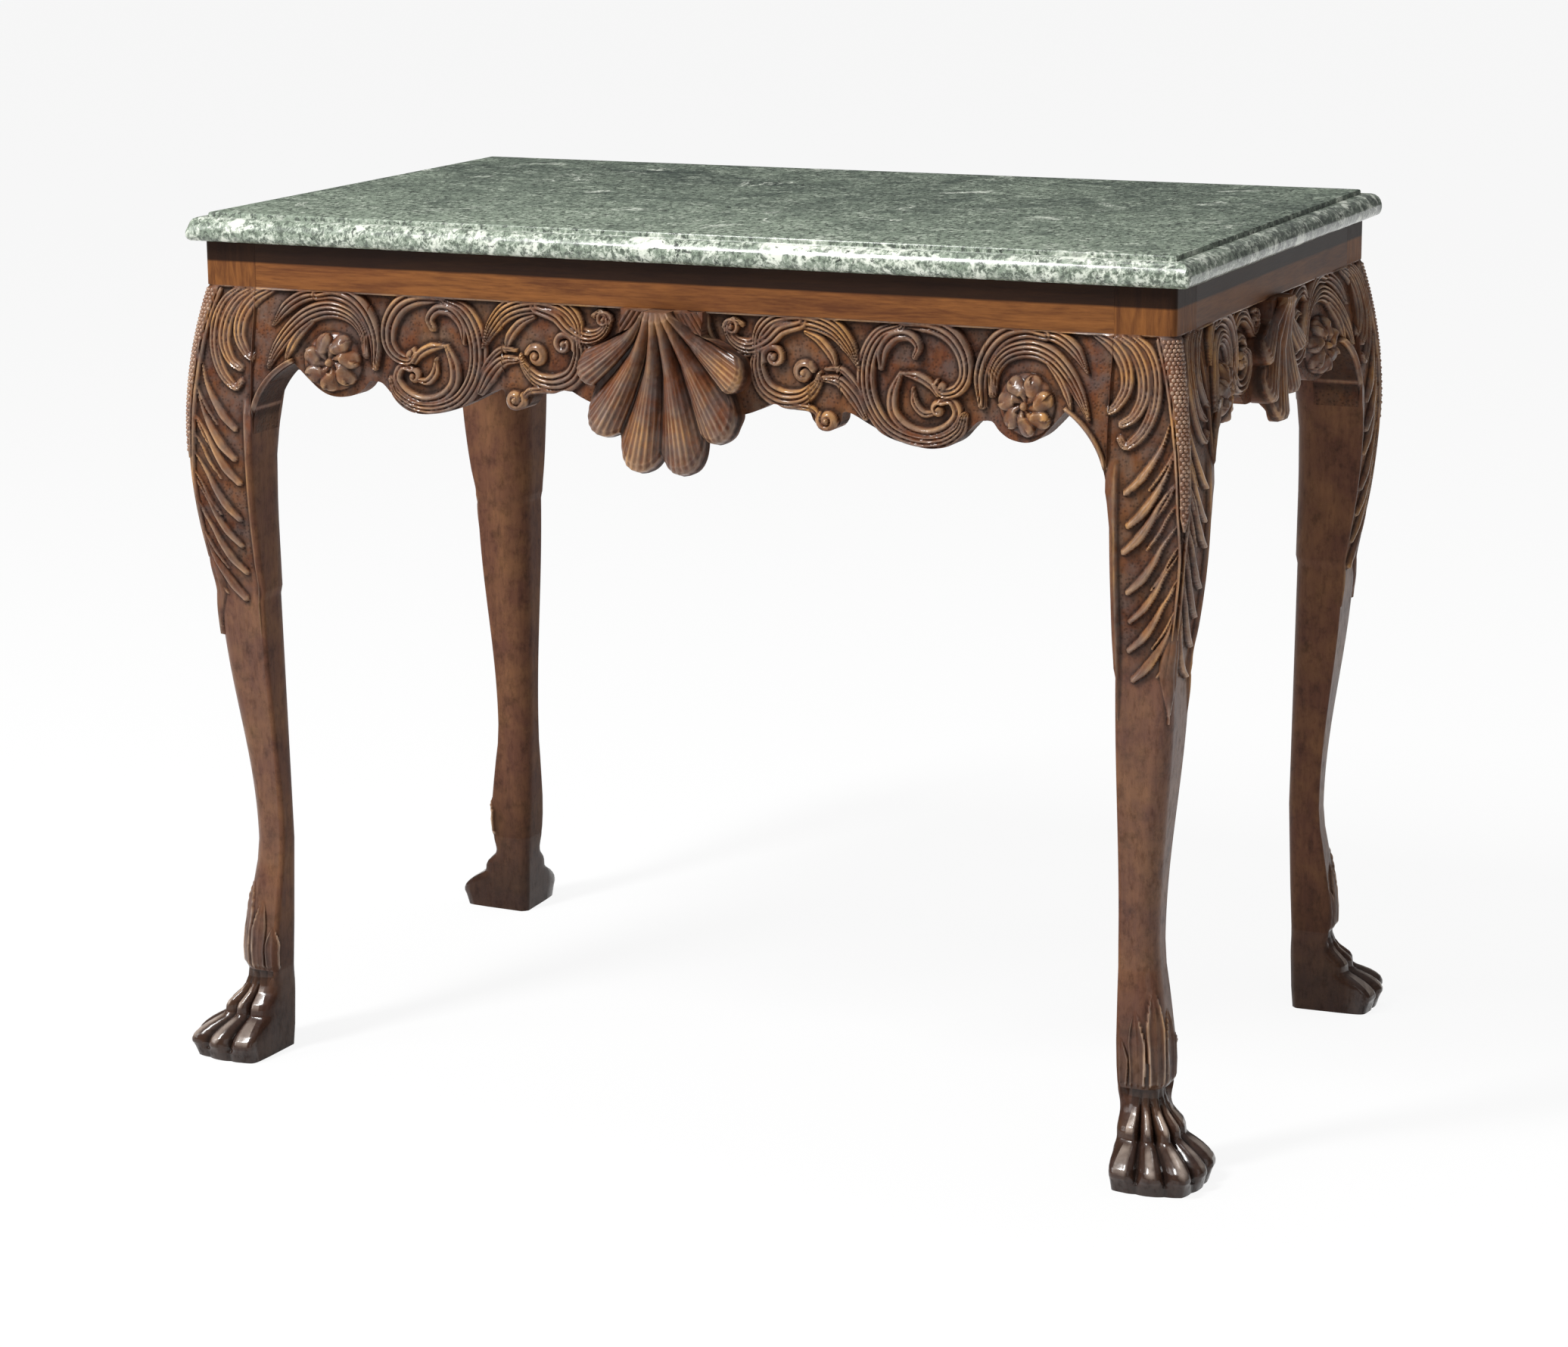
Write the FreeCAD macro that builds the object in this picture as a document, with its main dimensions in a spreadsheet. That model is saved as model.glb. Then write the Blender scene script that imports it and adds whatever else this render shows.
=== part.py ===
"""Carved centre table: a marble slab on a walnut frame with cabriole legs and paw feet.

Millimetres. The origin is on the floor under the middle of the table, X runs along the long sides,
the front faces -Y and Z is up. Pieces of a side are drawn in that side's own frame, whose origin is on
the floor under the middle of the frieze face, with X along the side and -Y outward. Pieces of a corner
are drawn in the corner's frame, whose origin is where the two frieze faces would meet, with +X and +Y
outward, so that each leg is the same piece turned by a quarter.
"""
import FreeCAD
import Part
import Sketcher
import math
import os

DIMENSIONS = [
    ("table_height", 780, "floor to the top of the slab"),
    ("slab_over_ends", 15, "slab past the frieze faces of the ends"),
    ("slab_over_front", 12, "slab past the frieze faces of front and back"),
    ("slab_thick", 25, "whole slab"),
    ("slab_edge", 17, "width of the moulding outside the flat field"),
    ("slab_quirk", 4, "height of the small step between field and moulding"),
    ("slab_roll", 13, "radius of the moulding's upper round"),
    ("slab_under", 6, "radius of the moulding's lower round"),
    ("frame_length", 906, "over the frieze faces of the ends"),
    ("frame_depth", 540, "over the frieze faces of front and back"),
    ("frieze_height", 39, "plain band under the slab"),
    ("rail_thick", 28, "frieze rails"),
    ("tenon_length", 24, "rail tenons"),
    ("tenon_thick", 10, "rail tenons"),
    ("tenon_shoulder", 5, "above and below each tenon"),
    ("post_width", 52, "leg post, each way"),
    ("corner_bevel", 9, "outer corner of post and knee, along each face"),
    ("knee_bulge", 18, "knee outside the frieze face"),
    ("knee_height", 580, "widest point of the knee"),
    ("stop_height", 437, "end of the square upper leg"),
    ("stop_face", 2, "outer face there, outside the frieze face"),
    ("stop_bevel", 4.4, "bevel that ends the inner faces there"),
    ("inner_bevel", 24, "inner corner of the upper leg, along each face"),
    ("inner_bevel_top", 604, "where that bevel starts to run out"),
    ("neck_face", 1.5, "shaft's outer face under the stop, outside the frieze face"),
    ("neck_inner", 47.5, "shaft's inner face under the stop, inside the frieze face"),
    ("ankle_height", 200, "thinnest shaft"),
    ("ankle_face", 15.6, "its outer face, inside the frieze face"),
    ("ankle_inner", 48.4, "its inner face, inside the frieze face"),
    ("collar_top", 160, "points of the leaf collar"),
    ("collar_swell", 104, "widest point of the leaf collar"),
    ("collar_low", 86, "lower lip of the leaf collar, top of the foot"),
    ("collar_face", 3, "collar's widest point, inside the frieze face"),
    ("lip_face", 4.5, "collar's lip, inside the frieze face"),
    ("lip_inner", 43.3, "collar's inner face at the lip, inside the frieze face"),
    ("shaft_bevel", 10, "shaft's corners, along each face"),
    ("heel_inner", 32, "foot's inner faces on the floor, inside the frieze faces"),
    ("instep_inner", 43, "foot's inner faces under the collar, inside the frieze faces"),
    ("heel_round", 8, "foot's inner corner"),
    ("toe_origin", 27, "point the toes fan from, inside the frieze faces"),
    ("toe_spread", 19, "degrees from toe to toe"),
    ("groove_middle", 77, "grooves beside the middle toe, from that point"),
    ("groove_side", 62.5, "grooves beside the first and last toe, from that point"),
    ("toe_edge", 60, "outer edge of the first and last toe, from that point"),
    ("toe_border", 3, "first and last toe inside the inner faces"),
    ("bracket_length", 112, "knee bracket, from the leg inward"),
    ("bracket_tip", 130, "lower tip, under the frieze"),
    ("arch_run", 40, "from the leg to the top of the bracket's arch"),
    ("arch_drop", 65, "top of that arch, under the frieze"),
    ("rosette_run", 76, "from the leg to the middle of the rosette lobe"),
    ("rosette_half", 28, "half the rosette lobe's width"),
    ("rosette_drop", 88, "bottom of the rosette lobe, under the frieze"),
    ("rosette_rise", 5, "end of that lobe on the leg's side, over the plain edge of the aprons"),
    ("apron_drop", 78, "plain lower edge of the aprons, under the frieze"),
    ("apron_setback", 2, "apron face behind the frieze face"),
    ("scroll_gap", 5, "big scroll lobe, from the end of the long apron"),
    ("scroll_half", 44, "half that lobe's width"),
    ("scroll_drop", 103, "its bottom, under the frieze"),
    ("pendant_run", 58, "small volute, from the seat of the front shell"),
    ("pendant_half", 10, "half its width"),
    ("pendant_drop", 94, "its bottom, under the frieze"),
    ("shell_seat", 88, "half the lobe of the apron behind the front shell"),
    ("shell_seat_drop", 92, "its bottom, under the frieze"),
    ("shell_block", 46, "half the width of the front shell's top block"),
    ("end_block", 28, "half the width of the end shell's top block"),
    ("shell_block_high", 27, "height of that block"),
    ("shell_block_thick", 9, "thickness of that block"),
    ("shell_hinge", 5, "point the lobes fan from, under the frieze"),
    ("umbo_radius", 5.4, "half a lobe's width at the hinge"),
    ("shell_thick", 17, "lobes of the front shell"),
    ("end_thick", 13, "lobes of the end shell"),
    ("groove_start", 34, "from the hinge to the start of the grooves between lobes"),
    ("shell_deep_length", 137, "lowest lobes, from the hinge"),
    ("shell_side_length", 124, "side lobes"),
    ("shell_wing_length", 98, "wing lobes"),
    ("shell_lobe_radius", 21, "lowest lobes at the rim"),
    ("shell_wing_radius", 16, "side and wing lobes at the rim"),
    ("end_seat", 58, "half the lobe of the end apron behind its shell"),
    ("end_seat_drop", 88, "its bottom, under the frieze"),
    ("end_shell_length", 104, "middle lobe of the end shell"),
    ("end_side_length", 92, "its side lobes"),
    ("end_wing_length", 70, "its wing lobes"),
    ("end_lobe_radius", 12, "its lobes at the rim"),
    ("block_reach", 62, "corner block along each rail, past the post"),
    ("block_high", 30, "corner block"),
    ("block_below", 7, "corner block under the slab"),
    ("bearer_reach", 150, "cross bearers, from the middle"),
    ("bearer_width", 46, "cross bearers"),
    ("bearer_high", 24, "cross bearers"),
    ("bearer_stub", 10, "bearer end housed in the rail"),
    ("glue_length", 60, "glue blocks"),
    ("glue_high", 44, "glue blocks"),
    ("glue_thick", 14, "glue blocks"),
    ("glue_bevel", 5, "glue blocks"),
    ("glue_near", 205, "inner glue blocks of the long sides, from the middle"),
    ("glue_far", 275, "outer glue blocks of the long sides, from the middle"),
    ("glue_end", 70, "glue blocks of the ends, from the middle"),
]

SIDES = {"front": 0, "right": 90, "back": 180, "left": 270}
CORNERS = {"rear_right": 0, "rear_left": 90, "front_left": 180, "front_right": 270}
CUT_MARGIN = 5.0
DIAGONAL = math.sqrt(2.0)
GROOVE_TILT = 5.0

# Degrees from upright to the lobes of a front and an end shell, the same on both sides.
FRONT_LEANS = (10, 32, 55)
END_LEANS = (0, 25, 52)

# Paw from the floor over the toes' two joints to the collar: share of the height, of the toes' reach,
# and how far each toe swells out of its chord.
PAW = [(0.0, 0.97, 0.5), (0.18, 1.0, 0.5), (0.32, 0.8, 0.5), (0.46, 0.6, 0.5), (0.58, 0.55, 0.5),
       (0.75, 0.35, 0.5), (1.0, 0.28, 0.3)]


class Size:
    """A length with its number and the sheet expression that it comes from."""

    def __init__(self, number, text):
        self.number = number
        self.text = text

    def __add__(self, other):
        other = as_size(other)
        return Size(self.number + other.number, f"({self.text} + {other.text})")

    def __sub__(self, other):
        other = as_size(other)
        return Size(self.number - other.number, f"({self.text} - {other.text})")

    def __mul__(self, other):
        other = as_size(other)
        return Size(self.number * other.number, f"({self.text} * {other.text})")

    def __truediv__(self, other):
        other = as_size(other)
        return Size(self.number / other.number, f"({self.text} / {other.text})")

    def __rsub__(self, other):
        return as_size(other) - self

    def __neg__(self):
        return as_size(0) - self

    __radd__ = __add__
    __rmul__ = __mul__


def as_size(value):
    if isinstance(value, Size):
        return value
    return Size(float(value), f"({float(value)})")


def cosine(angle):
    return Size(math.cos(math.radians(angle.number)), f"cos({angle.text} * 1 deg)")


def sine(angle):
    return Size(math.sin(math.radians(angle.number)), f"sin({angle.text} * 1 deg)")


def root(area):
    return Size(math.sqrt(area.number), f"sqrt({area.text})")


doc = FreeCAD.newDocument("centre_table")
sheet = doc.addObject("Spreadsheet::Sheet", "sizes")
for row, (alias, number, note) in enumerate(DIMENSIONS, start=1):
    sheet.set(f"A{row}", note)
    sheet.set(f"B{row}", str(number))
    sheet.setAlias(f"B{row}", alias)
doc.recompute()

size = {alias: Size(float(number), f"sizes.{alias}") for alias, number, note in DIMENSIONS}
half_length = size["frame_length"] / 2
half_depth = size["frame_depth"] / 2
frame_top = size["table_height"] - size["slab_thick"]
frieze_low = frame_top - size["frieze_height"]
pieces = []


def bind(item, **sizes):
    """Bind properties of an object to the sheet; a double underscore stands for a dot."""
    for name, value in sizes.items():
        item.setExpression(name.replace("__", "."), as_size(value).text)


def place(item, x, y, z, turn):
    """Place an object, turned about Z, with its position bound to the sheet."""
    corner = FreeCAD.Vector(as_size(x).number, as_size(y).number, as_size(z).number)
    item.Placement = FreeCAD.Placement(corner, FreeCAD.Rotation(FreeCAD.Vector(0, 0, 1), turn))
    bind(item, Placement__Base__x=x, Placement__Base__y=y, Placement__Base__z=z)


def on_side(item, side, along=0, inward=0):
    """Place an object drawn in a side's frame, moved along the side and inward."""
    along = as_size(along)
    x, y = {"front": (along, inward - half_depth), "back": (-along, half_depth - inward),
            "left": (inward - half_length, -along), "right": (half_length - inward, along)}[side]
    place(item, x, y, 0, SIDES[side])


def in_corner(item, corner):
    """Place an object drawn in a corner's frame."""
    y = half_depth if corner.startswith("rear") else -half_depth
    x = half_length if corner.endswith("right") else -half_length
    place(item, x, y, 0, CORNERS[corner])


def new_body(label):
    body = doc.addObject("PartDesign::Body", label)
    body.Label = label
    pieces.append(body)
    return body


def new_sketch(body, role, out=0):
    """A sketch on one of the body's own planes, moved out along the plane's normal."""
    sketch = body.newObject("Sketcher::SketchObject", "Sketch")
    plane = next(item for item in body.Origin.OriginFeatures if item.Role == role)
    sketch.AttachmentSupport = [(plane, "")]
    sketch.MapMode = "FlatFace"
    sketch.AttachmentOffset = FreeCAD.Placement(FreeCAD.Vector(0, 0, as_size(out).number), FreeCAD.Rotation())
    bind(sketch, AttachmentOffset__Base__z=out)
    return sketch


def hold(sketch, kind, elements, value):
    """Add a dimension to a sketch and bind it to the sheet."""
    index = sketch.addConstraint(Sketcher.Constraint(kind, *elements, value.number))
    sketch.setExpression(f"Constraints[{index}]", value.text)


def arc_between(start, end, radius):
    """Arc of under a half circle; a positive radius turns left on the way from start to end."""
    chord = end - start
    middle = (start + end) / 2
    left = FreeCAD.Vector(-chord.y, chord.x, 0).normalize()
    away = math.sqrt(max(radius ** 2 - (chord.Length / 2) ** 2, 0)) * (1 if radius > 0 else -1)
    centre = middle + left * away
    first, last = (start, end) if radius > 0 else (end, start)
    angles = [math.atan2(point.y - centre.y, point.x - centre.x) for point in (first, last)]
    circle = Part.Circle(centre, FreeCAD.Vector(0, 0, 1), abs(radius))
    return Part.ArcOfCircle(circle, *angles)


def draw(sketch, *path):
    """Closed outline. Each corner is (x, y), or (x, y, radius) where an arc leads to it."""
    corners = [(as_size(corner[0]), as_size(corner[1])) for corner in path]
    points = [FreeCAD.Vector(x.number, y.number, 0) for x, y in corners]
    ends = []
    for index, corner in enumerate(path):
        start, end = points[index - 1], points[index]
        radius = as_size(corner[2]) if len(corner) > 2 else None
        if radius is None:
            geometry = sketch.addGeometry(Part.LineSegment(start, end), False)
            ends.append((geometry, 1, 2))
            continue
        geometry = sketch.addGeometry(arc_between(start, end, radius.number), False)
        ends.append((geometry, 1, 2) if radius.number > 0 else (geometry, 2, 1))
        hold(sketch, "Radius", (geometry,), radius if radius.number > 0 else -radius)
    for index, (geometry, first, last) in enumerate(ends):
        following, following_first, _ = ends[(index + 1) % len(ends)]
        sketch.addConstraint(Sketcher.Constraint("Coincident", geometry, last, following, following_first))
        hold(sketch, "DistanceX", (-1, 1, geometry, last), corners[index][0])
        hold(sketch, "DistanceY", (-1, 1, geometry, last), corners[index][1])


def rectangle(sketch, left, right, low, high):
    draw(sketch, (left, low), (right, low), (right, high), (left, high))


def pad(body, sketch, length, back=False):
    feature = body.newObject("PartDesign::Pad", "Pad")
    feature.Profile = sketch
    feature.Reversed = back
    bind(feature, Length=length)
    return feature


def pocket(body, sketch, length=None, back=False):
    """Cut against the sketch's normal, or along it with back; through everything without a length."""
    feature = body.newObject("PartDesign::Pocket", "Pocket")
    feature.Profile = sketch
    feature.Reversed = back
    if length is None:
        feature.Type = "ThroughAll"
    else:
        bind(feature, Length=length)
    return feature


def fillet(body, radius, chosen):
    """Round the edges of the body so far that the test chooses."""
    doc.recompute()
    base = body.Tip
    names = [f"Edge{number}" for number, edge in enumerate(base.Shape.Edges, start=1) if chosen(edge)]
    feature = body.newObject("PartDesign::Fillet", "Fillet")
    feature.Base = (base, names)
    bind(feature, Radius=radius)
    return feature


def loft(body, sections):
    feature = body.newObject("PartDesign::AdditiveLoft", "Loft")
    feature.Profile = sections[0]
    feature.Sections = sections[1:]
    feature.Ruled = True
    return feature


def bow(run, rise):
    """Radius of an arc that leaves one end square to its rise and climbs that rise over the run."""
    return (run * run + rise * rise) / (rise * 2)


def lobe(start, low, end):
    """Two arcs that go down from start to a level low point and up again to end, travelling in -X."""
    first = bow(start[0] - low[0], start[1] - low[1])
    last = bow(low[0] - end[0], end[1] - low[1])
    return [start, (low[0], low[1], -first), (end[0], end[1], -last)]


def mirrored(path):
    """The same outline on the other side of the Z axis."""
    return [(-as_size(x), z, *(-as_size(radius) for radius in arc)) for x, z, *arc in path]


def make_marble_top():
    body = new_body("marble_top")
    low = size["slab_thick"] - size["slab_quirk"]
    half_x = half_length + size["slab_over_ends"]
    half_y = half_depth + size["slab_over_front"]
    edge = new_sketch(body, "XY_Plane")
    rectangle(edge, -half_x, half_x, -half_y, half_y)
    pad(body, edge, low)
    level = low.number

    def around(height):
        return lambda item: all(abs(vertex.Z - height) < 0.01 for vertex in item.Vertexes)

    fillet(body, size["slab_roll"], around(level))
    fillet(body, size["slab_under"], around(0))
    field = new_sketch(body, "XY_Plane", low)
    inset = size["slab_edge"]
    rectangle(field, inset - half_x, half_x - inset, inset - half_y, half_y - inset)
    pad(body, field, size["slab_quirk"])
    place(body, 0, 0, frame_top, 0)


def knee_path(sign=1, stretch=1.0, cut=0):
    """Outer face of the knee from the stop up to the frieze, as (out, height, radius) corners."""
    upper = bow(frieze_low - size["knee_height"], size["knee_bulge"] * stretch)
    lower = bow(size["knee_height"] - size["stop_height"], (size["knee_bulge"] - size["stop_face"]) * stretch)
    return [((size["stop_face"] - cut) * stretch * sign, size["stop_height"]),
            ((size["knee_bulge"] - cut) * stretch * sign, size["knee_height"], lower * sign),
            (-as_size(cut) * stretch * sign, frieze_low, upper * sign)]


def shaft_path(stretch=1.0, cut=0):
    """Outer face of the shaft and its leaf collar, from the collar's lip up to the stop."""
    lip, swell, top = size["collar_low"], size["collar_swell"], size["collar_top"]
    ankle, stop = size["ankle_height"], size["stop_height"]
    taper = (size["ankle_face"] - size["collar_face"]) / (ankle - swell)
    throat = size["ankle_face"] - taper * (ankle - top)
    middle = (ankle + stop) / 2
    bend = (size["neck_face"] - size["ankle_face"]) / 2
    flare = bow(ankle - top, (size["ankle_face"] - throat) * stretch)
    cup = bow(top - swell, (throat - size["collar_face"]) * stretch)
    roll = bow(swell - lip, (size["lip_face"] - size["collar_face"]) * stretch)
    rise = bow(middle - ankle, (size["ankle_face"] + bend) * stretch)
    crest = bow(stop - middle, (size["neck_face"] - bend) * stretch)
    return [((-size["lip_face"] - cut) * stretch, lip),
            ((-size["collar_face"] - cut) * stretch, swell, roll),
            ((-throat - cut) * stretch, top, cup),
            ((-size["ankle_face"] - cut) * stretch, ankle, -flare),
            ((bend - cut) * stretch, middle, -rise),
            ((size["neck_face"] - cut) * stretch, stop, crest)]


def back_path(stretch=1.0, cut=0):
    """Inner face of the shaft, from the collar's lip up to the stop."""
    levels = [(size["lip_inner"], size["collar_low"]), (size["ankle_inner"], size["ankle_height"]),
              (size["neck_inner"], size["stop_height"])]
    return [((cut - inner) * stretch, height) for inner, height in levels]


def beyond(path, outside):
    """Outline of the waste between an upright path and a line outside it."""
    foot, top = path[0], path[-1]
    return [*path, (outside, top[1]), (outside, foot[1])]


def upright_sketch(body, turn, away):
    """Upright sketch turned about Z from the plane that faces +X, and moved along its own normal."""
    sketch = new_sketch(body, "YZ_Plane")
    sketch.AttachmentOffset = FreeCAD.Placement(
        FreeCAD.Vector(), FreeCAD.Rotation(FreeCAD.Vector(0, 1, 0), turn))
    side, ahead = math.sin(math.radians(turn)), math.cos(math.radians(turn))
    bind(sketch, AttachmentOffset__Base__x=away * side, AttachmentOffset__Base__z=away * ahead)
    return sketch


def saw_knee(body):
    """Saw the upper leg to its curve on both faces, bevel its outer and inner corner and end its inner faces."""
    inner, bulge, bevel = -size["post_width"], size["knee_bulge"], size["stop_bevel"]
    front = new_sketch(body, "XZ_Plane", -bulge)
    draw(front, (inner, size["stop_height"]), *knee_path(), (inner, frieze_low))
    pad(body, front, bulge + size["post_width"])
    outside = bulge + CUT_MARGIN
    side = new_sketch(body, "YZ_Plane", outside)
    draw(side, *beyond(knee_path(), outside))
    pocket(body, side)
    corner = upright_sketch(body, -45, size["post_width"] * 2)
    draw(corner, *beyond(knee_path(1, DIAGONAL, size["corner_bevel"] / 2), outside * DIAGONAL))
    foot, top, cut = size["stop_height"], size["inner_bevel_top"], size["inner_bevel"] / 2
    bevelled = (inner + cut) * DIAGONAL
    run_out = [(bevelled, foot), (bevelled, top), (inner * DIAGONAL, top + cut * 2)]
    draw(corner, *beyond(run_out, (inner - CUT_MARGIN) * DIAGONAL))
    pocket(body, corner)
    for role, out in (("YZ_Plane", bulge), ("XZ_Plane", size["post_width"])):
        end = new_sketch(body, role, out)
        draw(end, (inner, foot), (inner + bevel, foot), (inner, foot + bevel))
        pocket(body, end)


def saw_shaft(body):
    """Saw the shaft and its leaf collar to their curves on all four faces and bevel the corners."""
    bulge, cut = size["knee_bulge"], size["shaft_bevel"] / 2
    outside, inside = bulge + CUT_MARGIN, -(size["post_width"] + CUT_MARGIN)
    front = new_sketch(body, "XZ_Plane", -bulge)
    draw(front, *shaft_path(), *reversed(back_path()))
    pad(body, front, bulge + size["post_width"])
    side = new_sketch(body, "YZ_Plane", outside)
    draw(side, *beyond(shaft_path(), outside))
    draw(side, *beyond(back_path(), inside))
    pocket(body, side)
    corner = upright_sketch(body, -45, size["post_width"] * 2)
    draw(corner, *beyond(shaft_path(DIAGONAL, cut), outside * DIAGONAL))
    draw(corner, *beyond(back_path(DIAGONAL, cut), inside * DIAGONAL))
    pocket(body, corner)
    width = [(size["lip_face"], size["lip_inner"], size["collar_low"]),
             (size["ankle_face"], size["ankle_inner"], size["ankle_height"]),
             (-size["neck_face"], size["neck_inner"], size["stop_height"])]
    edge = [((inner - face - cut * 2) / DIAGONAL, height) for face, inner, height in width]
    flank = upright_sketch(body, -135, size["post_width"] * 2)
    draw(flank, *beyond(edge, size["post_width"]))
    draw(flank, *mirrored(beyond(edge, size["post_width"])))
    pocket(body, flank)


def paw_section(body, share, reach, swell):
    """Level section of the foot: two flat inner faces and five toes that fan out from one point."""
    sketch = new_sketch(body, "XY_Plane", size["collar_low"] * share)
    low = -(size["heel_inner"] + (size["instep_inner"] - size["heel_inner"]) * share)
    start = -size["toe_origin"]
    edge = start + size["toe_edge"] * reach

    def groove(step):
        angle = size["toe_spread"] * step + 45
        far = (size["groove_middle"] if abs(step) < 1 else size["groove_side"]) * reach
        return start + far * cosine(angle), start + far * sine(angle)

    border = low + size["toe_border"]
    ends = [(edge, border), *(groove(step) for step in (-1.5, -0.5, 0.5, 1.5)), (border, edge)]
    toes = []
    for (x, y), (next_x, next_y) in zip(ends, ends[1:]):
        chord = root((next_x - x) * (next_x - x) + (next_y - y) * (next_y - y)) / 2
        toes.append((next_x, next_y, bow(chord, chord * swell)))
    turn = size["heel_round"]
    draw(sketch, (low + turn, low, turn), ends[0], *toes, (low, low + turn))
    return sketch


def tenon_box():
    """Tenon across the rail's thickness and height, measured inward from the frieze face."""
    near = (size["rail_thick"] - size["tenon_thick"]) / 2
    low, high = frieze_low + size["tenon_shoulder"], frame_top - size["tenon_shoulder"]
    return near, near + size["tenon_thick"], low, high


def make_leg(corner):
    """Cabriole leg in one piece: post and knee, bevelled stop, shaft, leaf collar and a paw of five toes."""
    body = new_body(f"leg_{corner}")
    saw_knee(body)
    inner, bevel = -size["post_width"], size["corner_bevel"]
    post = new_sketch(body, "XY_Plane", frieze_low)
    draw(post, (inner, inner), (0, inner), (0, -bevel), (-bevel, 0), (inner, 0))
    pad(body, post, size["frieze_height"])
    near, far, low, high = tenon_box()
    for role, back in (("YZ_Plane", True), ("XZ_Plane", False)):
        mortise = new_sketch(body, role, inner if back else -inner)
        rectangle(mortise, -far, -near, low, high)
        pocket(body, mortise, size["tenon_length"], back)
    saw_shaft(body)
    loft(body, [paw_section(body, *station) for station in PAW])
    in_corner(body, corner)


def span(side):
    """Half the distance between the posts of a side."""
    return (half_length if side in ("front", "back") else half_depth) - size["post_width"]


def make_rail(side):
    body = new_body(f"frieze_rail_{side}")
    half = span(side)
    thick = size["rail_thick"]
    board = new_sketch(body, "XZ_Plane")
    rectangle(board, -half, half, frieze_low, frame_top)
    pad(body, board, thick, True)
    near, far, low, high = tenon_box()
    tenon = new_sketch(body, "XZ_Plane", -near)
    reach = half + size["tenon_length"]
    rectangle(tenon, -reach, reach, low, high)
    pad(body, tenon, far - near, True)
    if side in ("front", "back"):
        housing = new_sketch(body, "XZ_Plane", -thick)
        for sign in (1, -1):
            middle = size["bearer_reach"] * sign
            rectangle(housing, middle - size["bearer_width"] / 2, middle + size["bearer_width"] / 2,
                      frame_top - size["bearer_high"], frame_top)
        pocket(body, housing, size["bearer_stub"], True)
    on_side(body, side)


def make_bracket(side, end, sign):
    """Knee bracket: an arch beside the leg and a round lobe for the rosette, faced like the knee."""
    body = new_body(f"knee_bracket_{side}_{end}")
    leg = span(side)
    foot = frieze_low - size["bracket_tip"]
    apex = (leg - size["arch_run"], frieze_low - size["arch_drop"])
    rosette = (leg - size["rosette_run"], frieze_low - size["rosette_drop"])
    edge = frieze_low - size["apron_drop"]
    tail = leg - size["bracket_length"]
    shoulder = (rosette[0] + size["rosette_half"], edge + size["rosette_rise"])
    arch = bow(apex[1] - foot, size["arch_run"])
    path = [(leg, frieze_low), (leg, foot), (*apex, arch),
            *lobe(shoulder, rosette, (rosette[0] - size["rosette_half"], edge)),
            (tail, edge), (tail, frieze_low)]
    outline = new_sketch(body, "XZ_Plane", size["knee_bulge"])
    draw(outline, *(path if sign > 0 else mirrored(path)))
    pad(body, outline, size["knee_bulge"] + size["rail_thick"], True)
    waste = new_sketch(body, "YZ_Plane", leg + CUT_MARGIN)
    outside = -(size["knee_bulge"] + CUT_MARGIN)
    draw(waste, *beyond(knee_path(-1), outside))
    pocket(body, waste)
    on_side(body, side)


def apron_edge(side):
    """Lower edge of the right half of an apron, from its end to the seat of the shell."""
    edge = frieze_low - size["apron_drop"]
    end = span(side) - size["bracket_length"]
    if side in ("front", "back"):
        half, small, seat = size["scroll_half"], size["pendant_half"], size["shell_seat"]
        scroll, pendant = end - size["scroll_gap"] - half, seat + size["pendant_run"]
        low = frieze_low - size["shell_seat_drop"]
        lowest, tip = frieze_low - size["scroll_drop"], frieze_low - size["pendant_drop"]
        return [(end, edge),
                *lobe((scroll + half, edge), (scroll, lowest), (scroll - half, edge)),
                *lobe((pendant + small, edge), (pendant, tip), (pendant - small, edge)),
                (seat, edge), (seat - (edge - low), low, edge - low)]
    seat, low = size["end_seat"], frieze_low - size["end_seat_drop"]
    return [(end, edge), (seat, edge), (seat - (edge - low), low, edge - low)]


def make_apron(side):
    body = new_body(f"apron_{side}")
    right = apron_edge(side)
    end = right[0][0]
    left = []
    radius = ()
    for corner in reversed(right):
        left.append((-corner[0], corner[1], *radius))
        radius = tuple(corner[2:])
    outline = new_sketch(body, "XZ_Plane", -size["apron_setback"])
    draw(outline, (end, frieze_low), *right, *left, (-end, frieze_low))
    pad(body, outline, size["rail_thick"] - size["apron_setback"], True)
    on_side(body, side)


def shell_lobe(body, lean, length, rim, thick):
    """Lobe that fans out from the hinge to a round end."""
    sketch = new_sketch(body, "XZ_Plane")
    sketch.AttachmentOffset = FreeCAD.Placement(
        FreeCAD.Vector(), FreeCAD.Rotation(FreeCAD.Vector(0, 0, 1), lean))
    bind(sketch, AttachmentOffset__Base__y=frieze_low - size["shell_hinge"])
    small = size["umbo_radius"]
    draw(sketch, (small, 0), (rim, rim - length), (0, -length, -rim), (-rim, rim - length, -rim), (-small, 0))
    pad(body, sketch, thick)


def shell_groove(body, lean, thick):
    """V groove between two lobes, that leaves the face near the hinge and deepens to the rim."""
    section = new_sketch(body, "XY_Plane")
    fan = FreeCAD.Rotation(FreeCAD.Vector(0, 1, 0), -lean)
    section.AttachmentOffset = FreeCAD.Placement(
        FreeCAD.Vector(), fan.multiply(FreeCAD.Rotation(FreeCAD.Vector(1, 0, 0), GROOVE_TILT)))
    bind(section, AttachmentOffset__Base__z=frieze_low - size["shell_hinge"])
    apex = -(thick + size["groove_start"] * math.tan(math.radians(GROOVE_TILT)))
    high = thick * 2
    draw(section, (0, apex), (high, apex - high), (-high, apex - high))
    pocket(body, section)


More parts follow.
